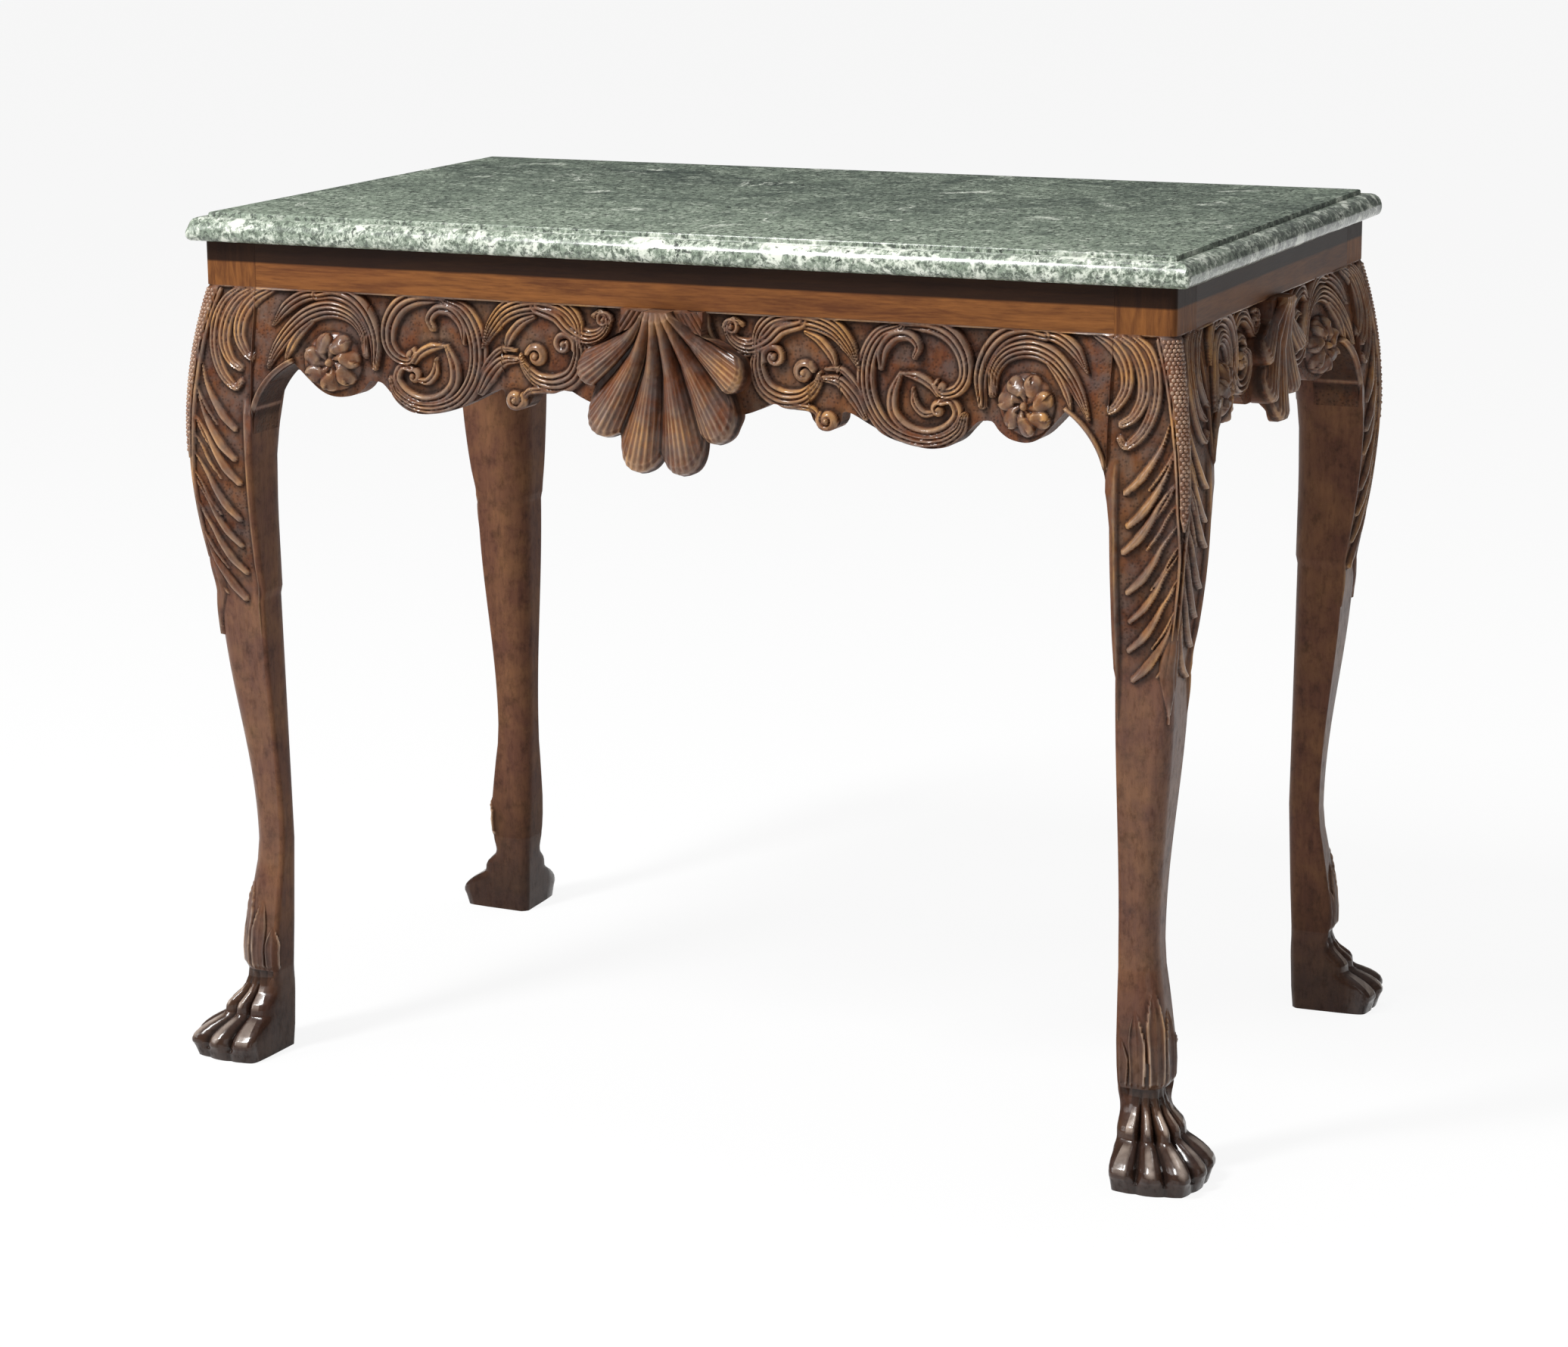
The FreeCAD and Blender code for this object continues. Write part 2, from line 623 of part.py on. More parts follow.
def make_shell(side):
    body = new_body(f"shell_{side}")
    if side in ("front", "back"):
        block, thick, leans = size["shell_block"], size["shell_thick"], FRONT_LEANS
        lengths = ("shell_deep_length", "shell_side_length", "shell_wing_length")
        rims = ("shell_lobe_radius", "shell_wing_radius", "shell_wing_radius")
    else:
        block, thick, leans = size["end_block"], size["end_thick"], END_LEANS
        lengths = ("end_shell_length", "end_side_length", "end_wing_length")
        rims = ("end_lobe_radius",) * len(leans)
    top = new_sketch(body, "XZ_Plane")
    rectangle(top, -block, block, frieze_low - size["shell_block_high"], frieze_low)
    pad(body, top, size["shell_block_thick"])
    lobes = {lean * sign: (size[length], size[rim])
             for lean, length, rim in zip(leans, lengths, rims) for sign in (1, -1)}
    for lean, (length, rim) in lobes.items():
        shell_lobe(body, lean, length, rim, thick)
    order = sorted(lobes)
    for lean, following in zip(order, order[1:]):
        shell_groove(body, (lean + following) / 2, thick)
    on_side(body, side, inward=size["apron_setback"])


def make_corner_block(corner):
    """Block glued behind a post, notched round it and fitted against both rails."""
    body = new_body(f"corner_block_{corner}")
    rail, post = size["rail_thick"], size["post_width"]
    reach = post + size["block_reach"]
    plan = new_sketch(body, "XY_Plane", frame_top - size["block_below"] - size["block_high"])
    draw(plan, (-post, -rail), (-reach, -rail), (-rail, -reach), (-rail, -post), (-post, -post))
    pad(body, plan, size["block_high"])
    in_corner(body, corner)


def make_bearer(side, sign):
    """Cross bearer under the slab, its ends housed in the long rails."""
    body = new_body(f"cross_bearer_{side}")
    half = half_depth - size["rail_thick"] + size["bearer_stub"]
    width = size["bearer_width"] / 2
    plan = new_sketch(body, "XY_Plane", frame_top - size["bearer_high"])
    rectangle(plan, -width, width, -half, half)
    pad(body, plan, size["bearer_high"])
    place(body, size["bearer_reach"] * sign, 0, 0, 0)


def make_glue_blocks():
    """Bevelled blocks rubbed across the joint between each frieze rail and the apron under it."""
    solids = []
    for side in SIDES:
        long_side = side in ("front", "back")
        runs = [size["glue_near"], size["glue_far"]] if long_side else [size["glue_end"]]
        for run in [run * sign for run in runs for sign in (1, -1)]:
            body = doc.addObject("PartDesign::Body", "Glue")
            section = new_sketch(body, "YZ_Plane")
            low, high = frieze_low - size["glue_high"] / 2, frieze_low + size["glue_high"] / 2
            face, bevel = size["glue_thick"], size["glue_bevel"]
            draw(section, (0, low), (face - bevel, low), (face, low + bevel), (face, high - bevel),
                 (face - bevel, high), (0, high))
            pad(body, section, size["glue_length"])
            on_side(body, side, along=run - size["glue_length"] / 2, inward=size["rail_thick"])
            solids.append(body)
    group = doc.addObject("Part::Compound", "glue_blocks")
    group.Label = "glue_blocks"
    group.Links = solids
    pieces.append(group)


make_marble_top()
for corner_name in CORNERS:
    make_leg(corner_name)
    make_corner_block(corner_name)
for side_name in SIDES:
    make_rail(side_name)
    make_apron(side_name)
    make_shell(side_name)
for side_name in ("front", "back"):
    facing = 1 if side_name == "front" else -1
    make_bracket(side_name, "right", facing)
    make_bracket(side_name, "left", -facing)
for side_name in ("right", "left"):
    facing = 1 if side_name == "right" else -1
    make_bracket(side_name, "rear", facing)
    make_bracket(side_name, "front", -facing)
make_bearer("right", 1)
make_bearer("left", -1)
make_glue_blocks()
doc.recompute()

faults = [item.Name for item in doc.Objects if "Invalid" in item.State or "Error" in item.State]
faults += [piece.Label for piece in pieces if piece.Shape.isNull() or not piece.Shape.isValid()]
if faults:
    raise RuntimeError(f"these failed to build: {faults}")
os.makedirs("parts", exist_ok=True)
for piece in pieces:
    piece.Shape.exportStep(f"parts/{piece.Label}.step")
print(f"{len(pieces)} pieces")
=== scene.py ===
"""Looks of a carved walnut centre table with a moulded marble top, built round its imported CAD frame.

Carving is worked out in millimetres, and every mesh is scaled to metres when it is made. A side of the
table has its own frame: u runs along the side to the right of someone who faces it, d is outward from the
frieze face and z is up. A leg has its corner's frame: a and b run outward from where two frieze faces meet.
"""
import math

import bmesh
import bpy
import numpy as np
from bpy.props import FloatProperty, FloatVectorProperty, IntProperty, PointerProperty
from mathutils import Matrix, Vector


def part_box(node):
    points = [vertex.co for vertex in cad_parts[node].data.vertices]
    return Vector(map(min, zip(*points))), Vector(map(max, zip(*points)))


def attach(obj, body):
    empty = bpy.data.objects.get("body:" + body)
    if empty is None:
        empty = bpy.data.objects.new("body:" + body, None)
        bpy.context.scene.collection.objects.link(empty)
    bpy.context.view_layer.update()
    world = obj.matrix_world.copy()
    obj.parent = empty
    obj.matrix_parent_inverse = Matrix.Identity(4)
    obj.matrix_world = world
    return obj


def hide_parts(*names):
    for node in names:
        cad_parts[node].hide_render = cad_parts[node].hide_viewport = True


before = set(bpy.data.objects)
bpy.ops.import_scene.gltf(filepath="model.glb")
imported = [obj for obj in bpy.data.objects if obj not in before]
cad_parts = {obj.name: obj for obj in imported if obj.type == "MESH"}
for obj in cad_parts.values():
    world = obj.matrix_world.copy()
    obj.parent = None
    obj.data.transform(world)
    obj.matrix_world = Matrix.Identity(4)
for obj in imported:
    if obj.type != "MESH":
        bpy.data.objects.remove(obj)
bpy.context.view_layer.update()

bl_info = {
    "name": "Carved centre table",
    "version": (1, 0, 0),
    "blender": (4, 5, 0),
    "location": "View3D > Sidebar > Centre table",
    "description": "Marble top, carved aprons, shells, knee brackets and paw-footed legs",
    "category": "Object",
}

MM = 0.001
SIDES = ("front", "right", "back", "left")
CORNER_TURNS = {"rear_right": 0, "rear_left": 1, "front_left": 2, "front_right": 3}


def box_mm(node):
    """Lowest and highest corner of a CAD node in millimetres."""
    low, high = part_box(node)
    return np.array(low) / MM, np.array(high) / MM


RAIL_LOW, RAIL_HIGH = box_mm("frieze_rail_front")
BRACKET_LOW, BRACKET_HIGH = box_mm("knee_bracket_front_right")
SLAB_LOW, SLAB_HIGH = box_mm("marble_top")
HALF_LENGTH, HALF_DEPTH = box_mm("frieze_rail_right")[1][0], -RAIL_LOW[1]
FRIEZE_LOW, FRAME_TOP = RAIL_LOW[2], RAIL_HIGH[2]
RAIL_THICK = RAIL_HIGH[1] - RAIL_LOW[1]
LEG_LINE = {"front": BRACKET_HIGH[0], "right": box_mm("knee_bracket_right_rear")[1][1]}
BRACKET_LENGTH = BRACKET_HIGH[0] - BRACKET_LOW[0]
POST_WIDTH = HALF_LENGTH - LEG_LINE["front"]

# Painted shadow of the slab's overhang darkens the frieze this far down from the slab, in mm, and by this
# share.
SLAB_SHADOW_DEPTH = 18.5
SLAB_SHADOW_SHARE = 0.92

# Heights over the floor, in metres: the feet are darker, with painted highlights along the toes, below the
# first span; the knees' bloom starts over the second.
FOOT_SPAN = (0.03, 0.16)
KNEE_START = (0.42, 0.48)

# Painted light makes the marble paler towards the front, between these depths from the middle, in metres.
MARBLE_PAINTED_LIGHT = (-0.28, 0.02)


def linear(red, green, blue):
    """Scene colour of an everyday 0 to 255 colour."""
    shares = (channel / 255 for channel in (red, green, blue))
    return tuple(share / 12.92 if share <= 0.04045 else ((share + 0.055) / 1.055) ** 2.4 for share in shares)


class TableSizes(bpy.types.PropertyGroup):
    """Sizes of the carving, in millimetres on the wood."""
    ground_depth: FloatProperty(name="Ground depth", default=9.0,
                                description="How far the ground lies behind the highest carving, in mm")
    reed_cut: FloatProperty(name="Reed cut", default=0.5, subtype="FACTOR",
                            description="Share of a strand's height that the grooves between reeds take")
    knee_bulge: FloatProperty(name="Knee bulge", default=18.0,
                              description="Widest point of the knee outside the frieze face, in mm")
    knee_height: FloatProperty(name="Knee height", default=580.0,
                               description="Height of the knee's widest point over the floor, in mm")
    grain: FloatProperty(name="Carving grain", default=0.95,
                         description="Spacing of the points of carved faces, in mm")
    strand_width: FloatProperty(name="Strand width", default=1.22,
                                description="How much wider than drawn the strands are carved")
    petals: IntProperty(name="Rosette petals", default=7, description="Petals round the eye of a rosette")
    shell_ribs: IntProperty(name="Shell ribs", default=8, description="Fine ribs on each lobe of a shell")
    bead_pitch: FloatProperty(name="Bead pitch", default=3.7, description="Spacing of the knee beads, in mm")


def colour_property(name, red, green, blue, description):
    return FloatVectorProperty(name=name, subtype="COLOR", default=linear(red, green, blue),
                               description=description)


class TableColours(bpy.types.PropertyGroup):
    """Colours of the finishes."""
    # Also the colour of the painted shadow under the slab and of the end frieze's painted shade.
    walnut_recess_and_shadow: colour_property("Walnut recess", 25, 16, 13, "Dirt and old polish in the deepest carving")
    walnut_ground: colour_property("Walnut ground", 86, 46, 29, "Red-brown ground behind the carving")
    walnut_face: colour_property("Walnut face", 112, 69, 44, "Plain carved wood")
    walnut_worn: colour_property("Walnut worn", 184, 136, 82, "Golden wood where hands have worn the ridges")
    # Painted sheen: greyish colour that stands in for the glossy sheen on the ridges.
    walnut_painted_sheen: colour_property("Walnut polish", 160, 136, 116, "Greyed ridges under old polish")
    walnut_bloom: colour_property("Walnut bloom", 86, 75, 71, "Greyish bloom of old polish over the wood")
    # Painted highlight: pale colour that stands in for the long glints along the toes.
    toe_painted_highlight: colour_property("Toe pale", 182, 166, 154, "Bright old polish along the toes")
    # Partly real wear, partly a painted sheen that stands in for the glints on the beads.
    bead_pale_and_sheen: colour_property("Bead pale", 158, 128, 104, "Rubbed tops of the knee beads")
    frieze_light: colour_property("Frieze light", 126, 80, 42, "Pale bands of the frieze's grain")
    frieze_dark: colour_property("Frieze dark", 84, 50, 29, "Dark bands of the frieze's grain")
    marble_dark: colour_property("Marble dark", 52, 63, 56, "Dark green body of the marble")
    marble_mid: colour_property("Marble middle", 125, 137, 121, "Grey-green clouds of the marble")
    marble_pale: colour_property("Marble pale", 208, 213, 200, "White veins of the marble")
    deal: colour_property("Secondary wood", 126, 92, 60, "Unpolished wood inside the frame")


def sizes():
    return bpy.context.scene.centre_table_sizes


def colours():
    return bpy.context.scene.centre_table_colours


class Shade:
    """A socket of a node tree that takes part in Python expressions."""

    def __init__(self, tree, socket):
        self.tree = tree
        self.socket = socket

    def node(self, kind, settings, inputs, output=0):
        """Add a node, set it up, then fill its sockets with values or links."""
        made = self.tree.nodes.new(kind)
        for name, value in settings.items():
            setattr(made, name, value)
        for name, value in inputs.items():
            if isinstance(value, Shade):
                self.tree.links.new(value.socket, made.inputs[name])
            else:
                made.inputs[name].default_value = value
        return Shade(self.tree, made.outputs[output]) if made.outputs else None

    def math(self, operation, *values):
        return self.node("ShaderNodeMath", {"operation": operation}, dict(enumerate(values)))

    def __add__(self, other):
        return self.math("ADD", self, other)

    def __sub__(self, other):
        return self.math("SUBTRACT", self, other)

    def __rsub__(self, other):
        return self.math("SUBTRACT", other, self)

    def __mul__(self, other):
        return self.math("MULTIPLY", self, other)

    __radd__ = __add__
    __rmul__ = __mul__

    def spread(self, low, high):
        """Stretch the values between low and high to 0 to 1, and stop there."""
        return self.node("ShaderNodeMapRange", {"clamp": True},
                         {"Value": self, "From Min": low, "From Max": high})

    def mix(self, first, second):
        """Colour from first to second by this factor."""
        ends = [end if isinstance(end, Shade) else (*end, 1.0) for end in (first, second)]
        return self.node("ShaderNodeMix", {"data_type": "RGBA"}, {0: self, 6: ends[0], 7: ends[1]}, 2)


class Finish:
    """A material with one glossy shader, whose sockets take Python expressions."""

    def __init__(self, name):
        self.material = bpy.data.materials.new(name)
        self.material.use_nodes = True
        tree = self.material.node_tree
        tree.nodes.clear()
        self.start = Shade(tree, None)
        self.place = self.node("ShaderNodeTexCoord", {}, {}, "Object")

    def node(self, kind, settings, inputs, output=0):
        return self.start.node(kind, settings, inputs, output)

    def stretched(self, scale):
        """Place on the object, stretched for a grain."""
        return self.node("ShaderNodeMapping", {}, {"Vector": self.place, "Scale": scale})

    def along(self, axis, vector=None):
        """One coordinate of a vector, or else of the place on the object, in metres."""
        return self.node("ShaderNodeSeparateXYZ", {}, {"Vector": vector or self.place}, axis)

    def noise(self, vector, scale, detail=4.0, roughness=0.55, distortion=0.0):
        return self.node("ShaderNodeTexNoise", {}, {"Vector": vector, "Scale": scale, "Detail": detail,
                                                    "Roughness": roughness, "Distortion": distortion})

    def cells(self, vector, scale, randomness):
        return self.node("ShaderNodeTexVoronoi", {},
                         {"Vector": vector, "Scale": scale, "Randomness": randomness})

    def attribute(self, name):
        return self.node("ShaderNodeAttribute", {"attribute_name": name}, {}, "Fac")

    def bump(self, height, distance, strength=1.0):
        return self.node("ShaderNodeBump", {}, {"Height": height, "Distance": distance, "Strength": strength})

    def close(self, **inputs):
        """Join the surface to the material's output and give the material."""
        names = {name.replace("_", " "): value for name, value in inputs.items()}
        surface = self.node("ShaderNodeBsdfPrincipled", {}, names)
        self.node("ShaderNodeOutputMaterial", {}, {"Surface": surface})
        return self.material


def walnut_carved():
    """Carved walnut: dark recesses, red-brown punched ground, worn golden crests with a painted sheen, a
    painted highlight along the toes, the slab's painted shadow on the posts and a greyish bloom.
    """
    tint = colours()
    finish = Finish("polished_carving")
    height = finish.attribute("height")
    ridge = finish.attribute("ridge")
    polish = finish.attribute("polish")
    grain = finish.noise(finish.stretched((60.0, 60.0, 9.0)), 3.0, 6.0, 0.6, 0.6)
    patches = finish.noise(finish.place, 24.0, 3.0).spread(0.4, 0.66)
    dirt = finish.noise(finish.stretched((1.0, 1.0, 0.4)), 210.0, 4.0, 0.7).spread(0.5, 0.68)
    mottle = finish.noise(finish.place, 75.0, 5.0, 0.7)
    level = finish.along("Z")
    feet = 1 - level.spread(*FOOT_SPAN)
    crest = (ridge * 1.05 + (height - 0.5) * 0.22 + (mottle - 0.5) * 0.5).spread(0.12, 0.78)
    # Worn crests carry both real golden wear and the painted sheen below.
    worn = crest * (0.34 + patches * 0.5)
    dark = (0 - ridge + (0.3 - height) * 0.35).spread(0.04, 0.62)
    face = grain.spread(0.3, 0.72).mix(tint.walnut_ground, tint.walnut_face)
    carved = polish * level.spread(*KNEE_START)
    cloudy = finish.noise(finish.place, 55.0, 5.0, 0.65).spread(0.38, 0.62)
    face = ((cloudy - 0.45) * carved * 0.8 + 0.28).mix(face, tint.walnut_bloom)
    face = (mottle.spread(0.5, 0.7) * 0.48).mix(face, tint.walnut_recess_and_shadow)
    face = (patches * 0.13).mix(face, tint.walnut_worn)
    # The wood darkens towards the floor.
    face = (feet * 0.75).mix(face, tint.walnut_recess_and_shadow)
    # Crests take golden wear in patches and a painted sheen elsewhere.
    worn_and_sheen = patches.mix(tint.walnut_painted_sheen, tint.walnut_worn)
    # On the feet the crests take a painted highlight along the toes instead.
    worn_and_sheen = feet.mix(worn_and_sheen, tint.toe_painted_highlight)
    colour = worn.mix(face, worn_and_sheen)
    colour = (dark * 0.7).mix(colour, tint.walnut_recess_and_shadow)
    colour = (dirt * 0.3).mix(colour, tint.walnut_recess_and_shadow)
    dots = finish.cells(finish.place, 300.0, 0.8).spread(0.15, 0.42)
    ground = 1 - height.spread(0.02, 0.14)
    punched = ground * (1 - dots)
    colour = (punched * 0.42).mix(colour, tint.walnut_recess_and_shadow)
    post = level.spread((FRIEZE_LOW - 0.3) * MM, (FRIEZE_LOW + 0.3) * MM)
    upright = grain.spread(0.32, 0.7).mix(tint.frieze_dark, tint.frieze_light)
    # Painted shadow of the slab's overhang across the top of the leg posts.
    slab_shadow = level.spread((FRAME_TOP - SLAB_SHADOW_DEPTH) * MM, (FRAME_TOP - SLAB_SHADOW_DEPTH + 2) * MM)
    upright = (slab_shadow * SLAB_SHADOW_SHARE).mix(upright, tint.walnut_recess_and_shadow)
    colour = post.mix(colour, upright)
    pores = finish.noise(finish.stretched((420.0, 420.0, 40.0)), 2.0, 2.0).spread(0.55, 0.7)
    normal = finish.bump(grain * 0.25 - punched - pores * 0.12 + mottle * 0.5, 0.0006, 0.6)
    shine = polish * (0.4 + worn * 0.6 + feet * 0.4) * (1 - ground * 0.8) * (1 - post) * (1 - dirt * 0.7)
    shine = shine * (1 - height.spread(0.97, 1.0) * 0.6)
    roughness = 0.4 + mottle * 0.1 + dark * 0.2 - crest * 0.12
    return finish.close(Base_Color=colour, Roughness=roughness, Normal=normal, Coat_Weight=shine,
                        Coat_Roughness=0.17, Specular_IOR_Level=0.08)


def beads_wear_and_sheen():
    """Knee beads, paler than the carving round them, partly from wear and partly as a painted sheen."""
    tint = colours()
    finish = Finish("beads_wear_and_sheen")
    wear = finish.noise(finish.place, 90.0, 3.0)
    colour = wear.spread(0.3, 0.7).mix(tint.walnut_face, tint.bead_pale_and_sheen)
    return finish.close(Base_Color=colour, Roughness=0.3 + wear * 0.1, Coat_Weight=0.6, Coat_Roughness=0.25)


def walnut_frieze(name, stretch, painted_shade):
    """Plain polished walnut with bands of grain along one direction, darkened all over by a share of painted
    shade, and darker still under the slab by its painted shadow.
    """
    tint = colours()
    finish = Finish(name)
    bands = finish.noise(finish.stretched(stretch), 2.2, 5.0, 0.6, 1.1)
    streaks = finish.noise(finish.stretched(tuple(side * 5 for side in stretch)), 3.0, 4.0, 0.65)
    wear = finish.noise(finish.place, 5.0, 3.0)
    share = (bands * 0.75 + streaks * 0.45).spread(0.46, 0.72)
    colour = share.mix(tint.frieze_dark, tint.frieze_light)
    colour = (wear.spread(0.45, 0.75) * 0.4).mix(colour, tint.walnut_ground)
    level = finish.along("Z")
    start = FRAME_TOP - SLAB_SHADOW_DEPTH
    # Painted shadow of the slab's overhang along the top of the frieze, its edge made slightly uneven.
    slab_shadow = (level + wear * 0.002).spread((start + 1) * MM, (start + 3) * MM)
    colour = (slab_shadow * (SLAB_SHADOW_SHARE - painted_shade) + painted_shade).mix(colour, tint.walnut_recess_and_shadow)
    normal = finish.bump(streaks, 0.0004, 0.3)
    return finish.close(Base_Color=colour, Roughness=0.36 + wear * 0.14, Normal=normal,
                        Specular_IOR_Level=0.1)


def secondary_wood():
    """Unpolished sawn wood inside the frame."""
    finish = Finish("sawn_wood")
    bands = finish.noise(finish.stretched((8.0, 60.0, 60.0)), 2.0, 5.0, 0.6, 0.8)
    dark = tuple(channel * 0.55 for channel in colours().deal)
    colour = bands.spread(0.3, 0.7).mix(dark, colours().deal)
    normal = finish.bump(bands, 0.0006, 0.4)
    return finish.close(Base_Color=colour, Roughness=0.7 + bands * 0.1, Normal=normal)


def green_marble():
    """Mottled green marble: dark grains, grey-green clouds, broken white veins, pits and a chalky roll,
    painted paler towards the front.
    """
    tint = colours()
    finish = Finish("veined_marble")
    spot = finish.node("ShaderNodeVectorMath", {"operation": "ABSOLUTE"}, {0: finish.place})
    across = finish.along("X", spot) - (SLAB_HIGH[0] - SLAB_ROLL) * MM
    ahead = finish.along("Y", spot) - (SLAB_HIGH[1] - SLAB_ROLL) * MM
    roll = across.math("MAXIMUM", across, ahead).spread(-0.002, 0.004)
    # Painted light: paler towards the front, in the body and in the chalk.
    painted_front_light = 1 - finish.along("Y").spread(*MARBLE_PAINTED_LIGHT)
    clouds = finish.noise(finish.place, 9.0, 7.0, 0.65, 0.7)
    blotch = finish.noise(finish.place, 46.0, 6.0, 0.72, 0.8)
    grains = finish.noise(finish.stretched((1.3, 0.8, 1.2)), 190.0, 4.0, 0.74, 0.4)
    body = (clouds * 0.6 + blotch * 0.62 + roll * 0.04 + painted_front_light * 0.2).spread(0.46, 0.78)
    colour = body.mix(tint.marble_dark, tint.marble_mid)
    specks = (1 - grains.spread(0.42, 0.5)) * (1 - roll * 0.2)
    black = tuple(channel * 0.2 for channel in tint.marble_dark)
    colour = (specks * 0.8).mix(colour, black)
    chalk = (blotch * 0.5 + grains * 0.6 + roll * 0.04).spread(0.59, 0.68)
    chalk = chalk * (0.36 + painted_front_light * 0.34 + roll * 0.3)
    swirl = finish.noise(finish.place, 6.0, 5.0, 0.6, 1.8)
    thread = swirl.math("ABSOLUTE", swirl - 0.5)
    broken = (finish.noise(finish.place, 13.0, 4.0, 0.6) + roll * 0.07).spread(0.56, 0.66)
    veins = (1 - thread.spread(0.0, 0.022)) * broken * grains.spread(0.3, 0.55)
    flakes = finish.noise(finish.place, 30.0, 4.0, 0.6, 0.6).spread(0.58, 0.63) * roll
    colour = (veins + flakes + chalk * 0.85).spread(0.0, 1.0).mix(colour, tint.marble_pale)
    pits = finish.noise(finish.place, 120.0, 3.0, 0.7, 0.5).spread(0.63, 0.68)
    stains = finish.noise(finish.stretched((1.0, 1.8, 1.8)), 34.0, 3.0, 0.6).spread(0.68, 0.72)
    colour = (pits * 0.85 + stains * 0.8).spread(0.0, 1.0).mix(colour, black)
    normal = finish.bump(grains * 0.35 - pits, 0.0006, 0.3)
    return finish.close(Base_Color=colour, Roughness=0.3 + grains * 0.16 + pits * 0.2, Normal=normal,
                        Specular_IOR_Level=0.26, Coat_Weight=roll * 0.7, Coat_Roughness=0.14)


def add_piece(mesh, material):
    """Object of a smooth mesh with one material."""
    mesh.polygons.foreach_set("use_smooth", np.ones(len(mesh.polygons), bool))
    mesh.materials.append(bpy.data.materials[material])
    made = bpy.data.objects.new(mesh.name, mesh)
    bpy.context.scene.collection.objects.link(made)
    return made


def loft_mesh(name, points, fields, material, sharp=55.0):
    """Closed mesh through rings of points: points[station, ring, xyz] in mm, with float fields per point.

    The rings close on themselves, and the first and last ring are capped.
    """
    stations, around, _ = points.shape
    index = np.arange(stations * around).reshape(stations, around)
    following = np.roll(index, -1, axis=1)
    quads = np.stack([index[:-1], index[1:], following[1:], following[:-1]], axis=-1).reshape(-1, 4)
    flat = points.reshape(-1, 3)
    corner = flat[quads]
    volume = np.einsum("ij,ij->", corner[:, 0], np.cross(corner[:, 1], corner[:, 2]))
    volume += np.einsum("ij,ij->", corner[:, 0], np.cross(corner[:, 2], corner[:, 3]))
    caps = [index[0], index[-1][::-1]]
    inside_out = volume < 0
    if inside_out:
        quads = quads[:, ::-1]
        caps = [cap[::-1] for cap in caps]
    loops = np.concatenate([quads.ravel(), *caps]).astype(np.int32)
    counts = np.array([4] * len(quads) + [around] * len(caps), np.int32)
    mesh = bpy.data.meshes.new(name)
    mesh.vertices.add(len(flat))
    mesh.vertices.foreach_set("co", (flat * MM).astype(np.float32).ravel())
    mesh.loops.add(len(loops))
    mesh.loops.foreach_set("vertex_index", loops)
    mesh.polygons.add(len(counts))
    starts = np.concatenate([[0], np.cumsum(counts)[:-1]]).astype(np.int32)
    mesh.polygons.foreach_set("loop_start", starts)
    for field, values in fields.items():
        layer = mesh.attributes.new(field, "FLOAT", "POINT")
        layer.data.foreach_set("value", values.astype(np.float32).ravel())
    mesh.update(calc_edges=True)
    mesh.validate()
    made = add_piece(mesh, material)
    mesh.set_sharp_from_angle(angle=math.radians(sharp))
    return made


def stand_for(piece, node):
    """Put a finished piece in the place of its CAD node."""
    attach(piece, "root")
    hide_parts(node)


def smooth_path(path, step=0.8):
    """Points at an even step along a smooth curve through a drawn path."""
    knots = np.array(path, float)
    ends = np.vstack([2 * knots[0] - knots[1], knots, 2 * knots[-1] - knots[-2]])
    points = []
    for a, b, c, d in zip(ends, ends[1:], ends[2:], ends[3:]):
        count = max(2, int(np.linalg.norm(c - b) / step))
        t = np.linspace(0, 1, count, endpoint=False)[:, None]
        points.append(0.5 * (2 * b + (c - a) * t + (2 * a - 5 * b + 4 * c - d) * t ** 2
                             + (3 * b - a - 3 * c + d) * t ** 3))
    return np.vstack([*points, knots[-1:]])


def volute(centre, start, end, turn, turns, radius):
    """Path of a spiral from one radius to another about a centre, angles in degrees."""
    share = np.linspace(0, 1, int(10 * abs(turns)) + 4)
    angle = np.radians(turn) + share * turns * 2 * math.pi
    reach = start + (end - start) * share
    return [(centre[0] + r * math.cos(t), centre[1] + r * math.sin(t))
            for r, t in zip(reach * radius, angle)]


def ease(value, low, high):
    """Smooth step from 0 at low to 1 at high."""
    share = np.clip((value - low) / (high - low), 0, 1)
    return share * share * (3 - 2 * share)


def lookup(stops, value):
    """Value at a place along a list of stops."""
    return np.interp(value, *zip(*stops))


def softened(field, rows, columns):
    """Moving average of a grid over a window of rows and columns."""
    for axis, reach in ((0, rows), (1, columns)):
        padded = np.pad(field, [(reach + 1, reach) if side == axis else (0, 0) for side in (0, 1)], "edge")
        total = np.cumsum(padded, axis=axis)
        low = np.take(total, range(0, field.shape[axis]), axis)
        high = np.take(total, range(2 * reach + 1, 2 * reach + 1 + field.shape[axis]), axis)
        field = (high - low) / (2 * reach + 1)
    return field


def ridge_field(height):
    """How far each point stands over its surroundings, about -1 in recesses to 1 on crests."""
    fine = height - softened(height, 2, 2)
    coarse = (height - softened(height, 5, 5)) / 3.0
    crest = np.maximum(fine, 0) * 0.75 + np.maximum(coarse, 0) * 0.3
    recess = np.minimum(fine, 0) * 0.4 + np.minimum(coarse, 0) * 0.85
    return np.clip(crest + recess, -1, 1)


# Seen along its path, a strand's right edge lies lower than its left by about twice this share of its height.
STRAND_TILT = 0.23


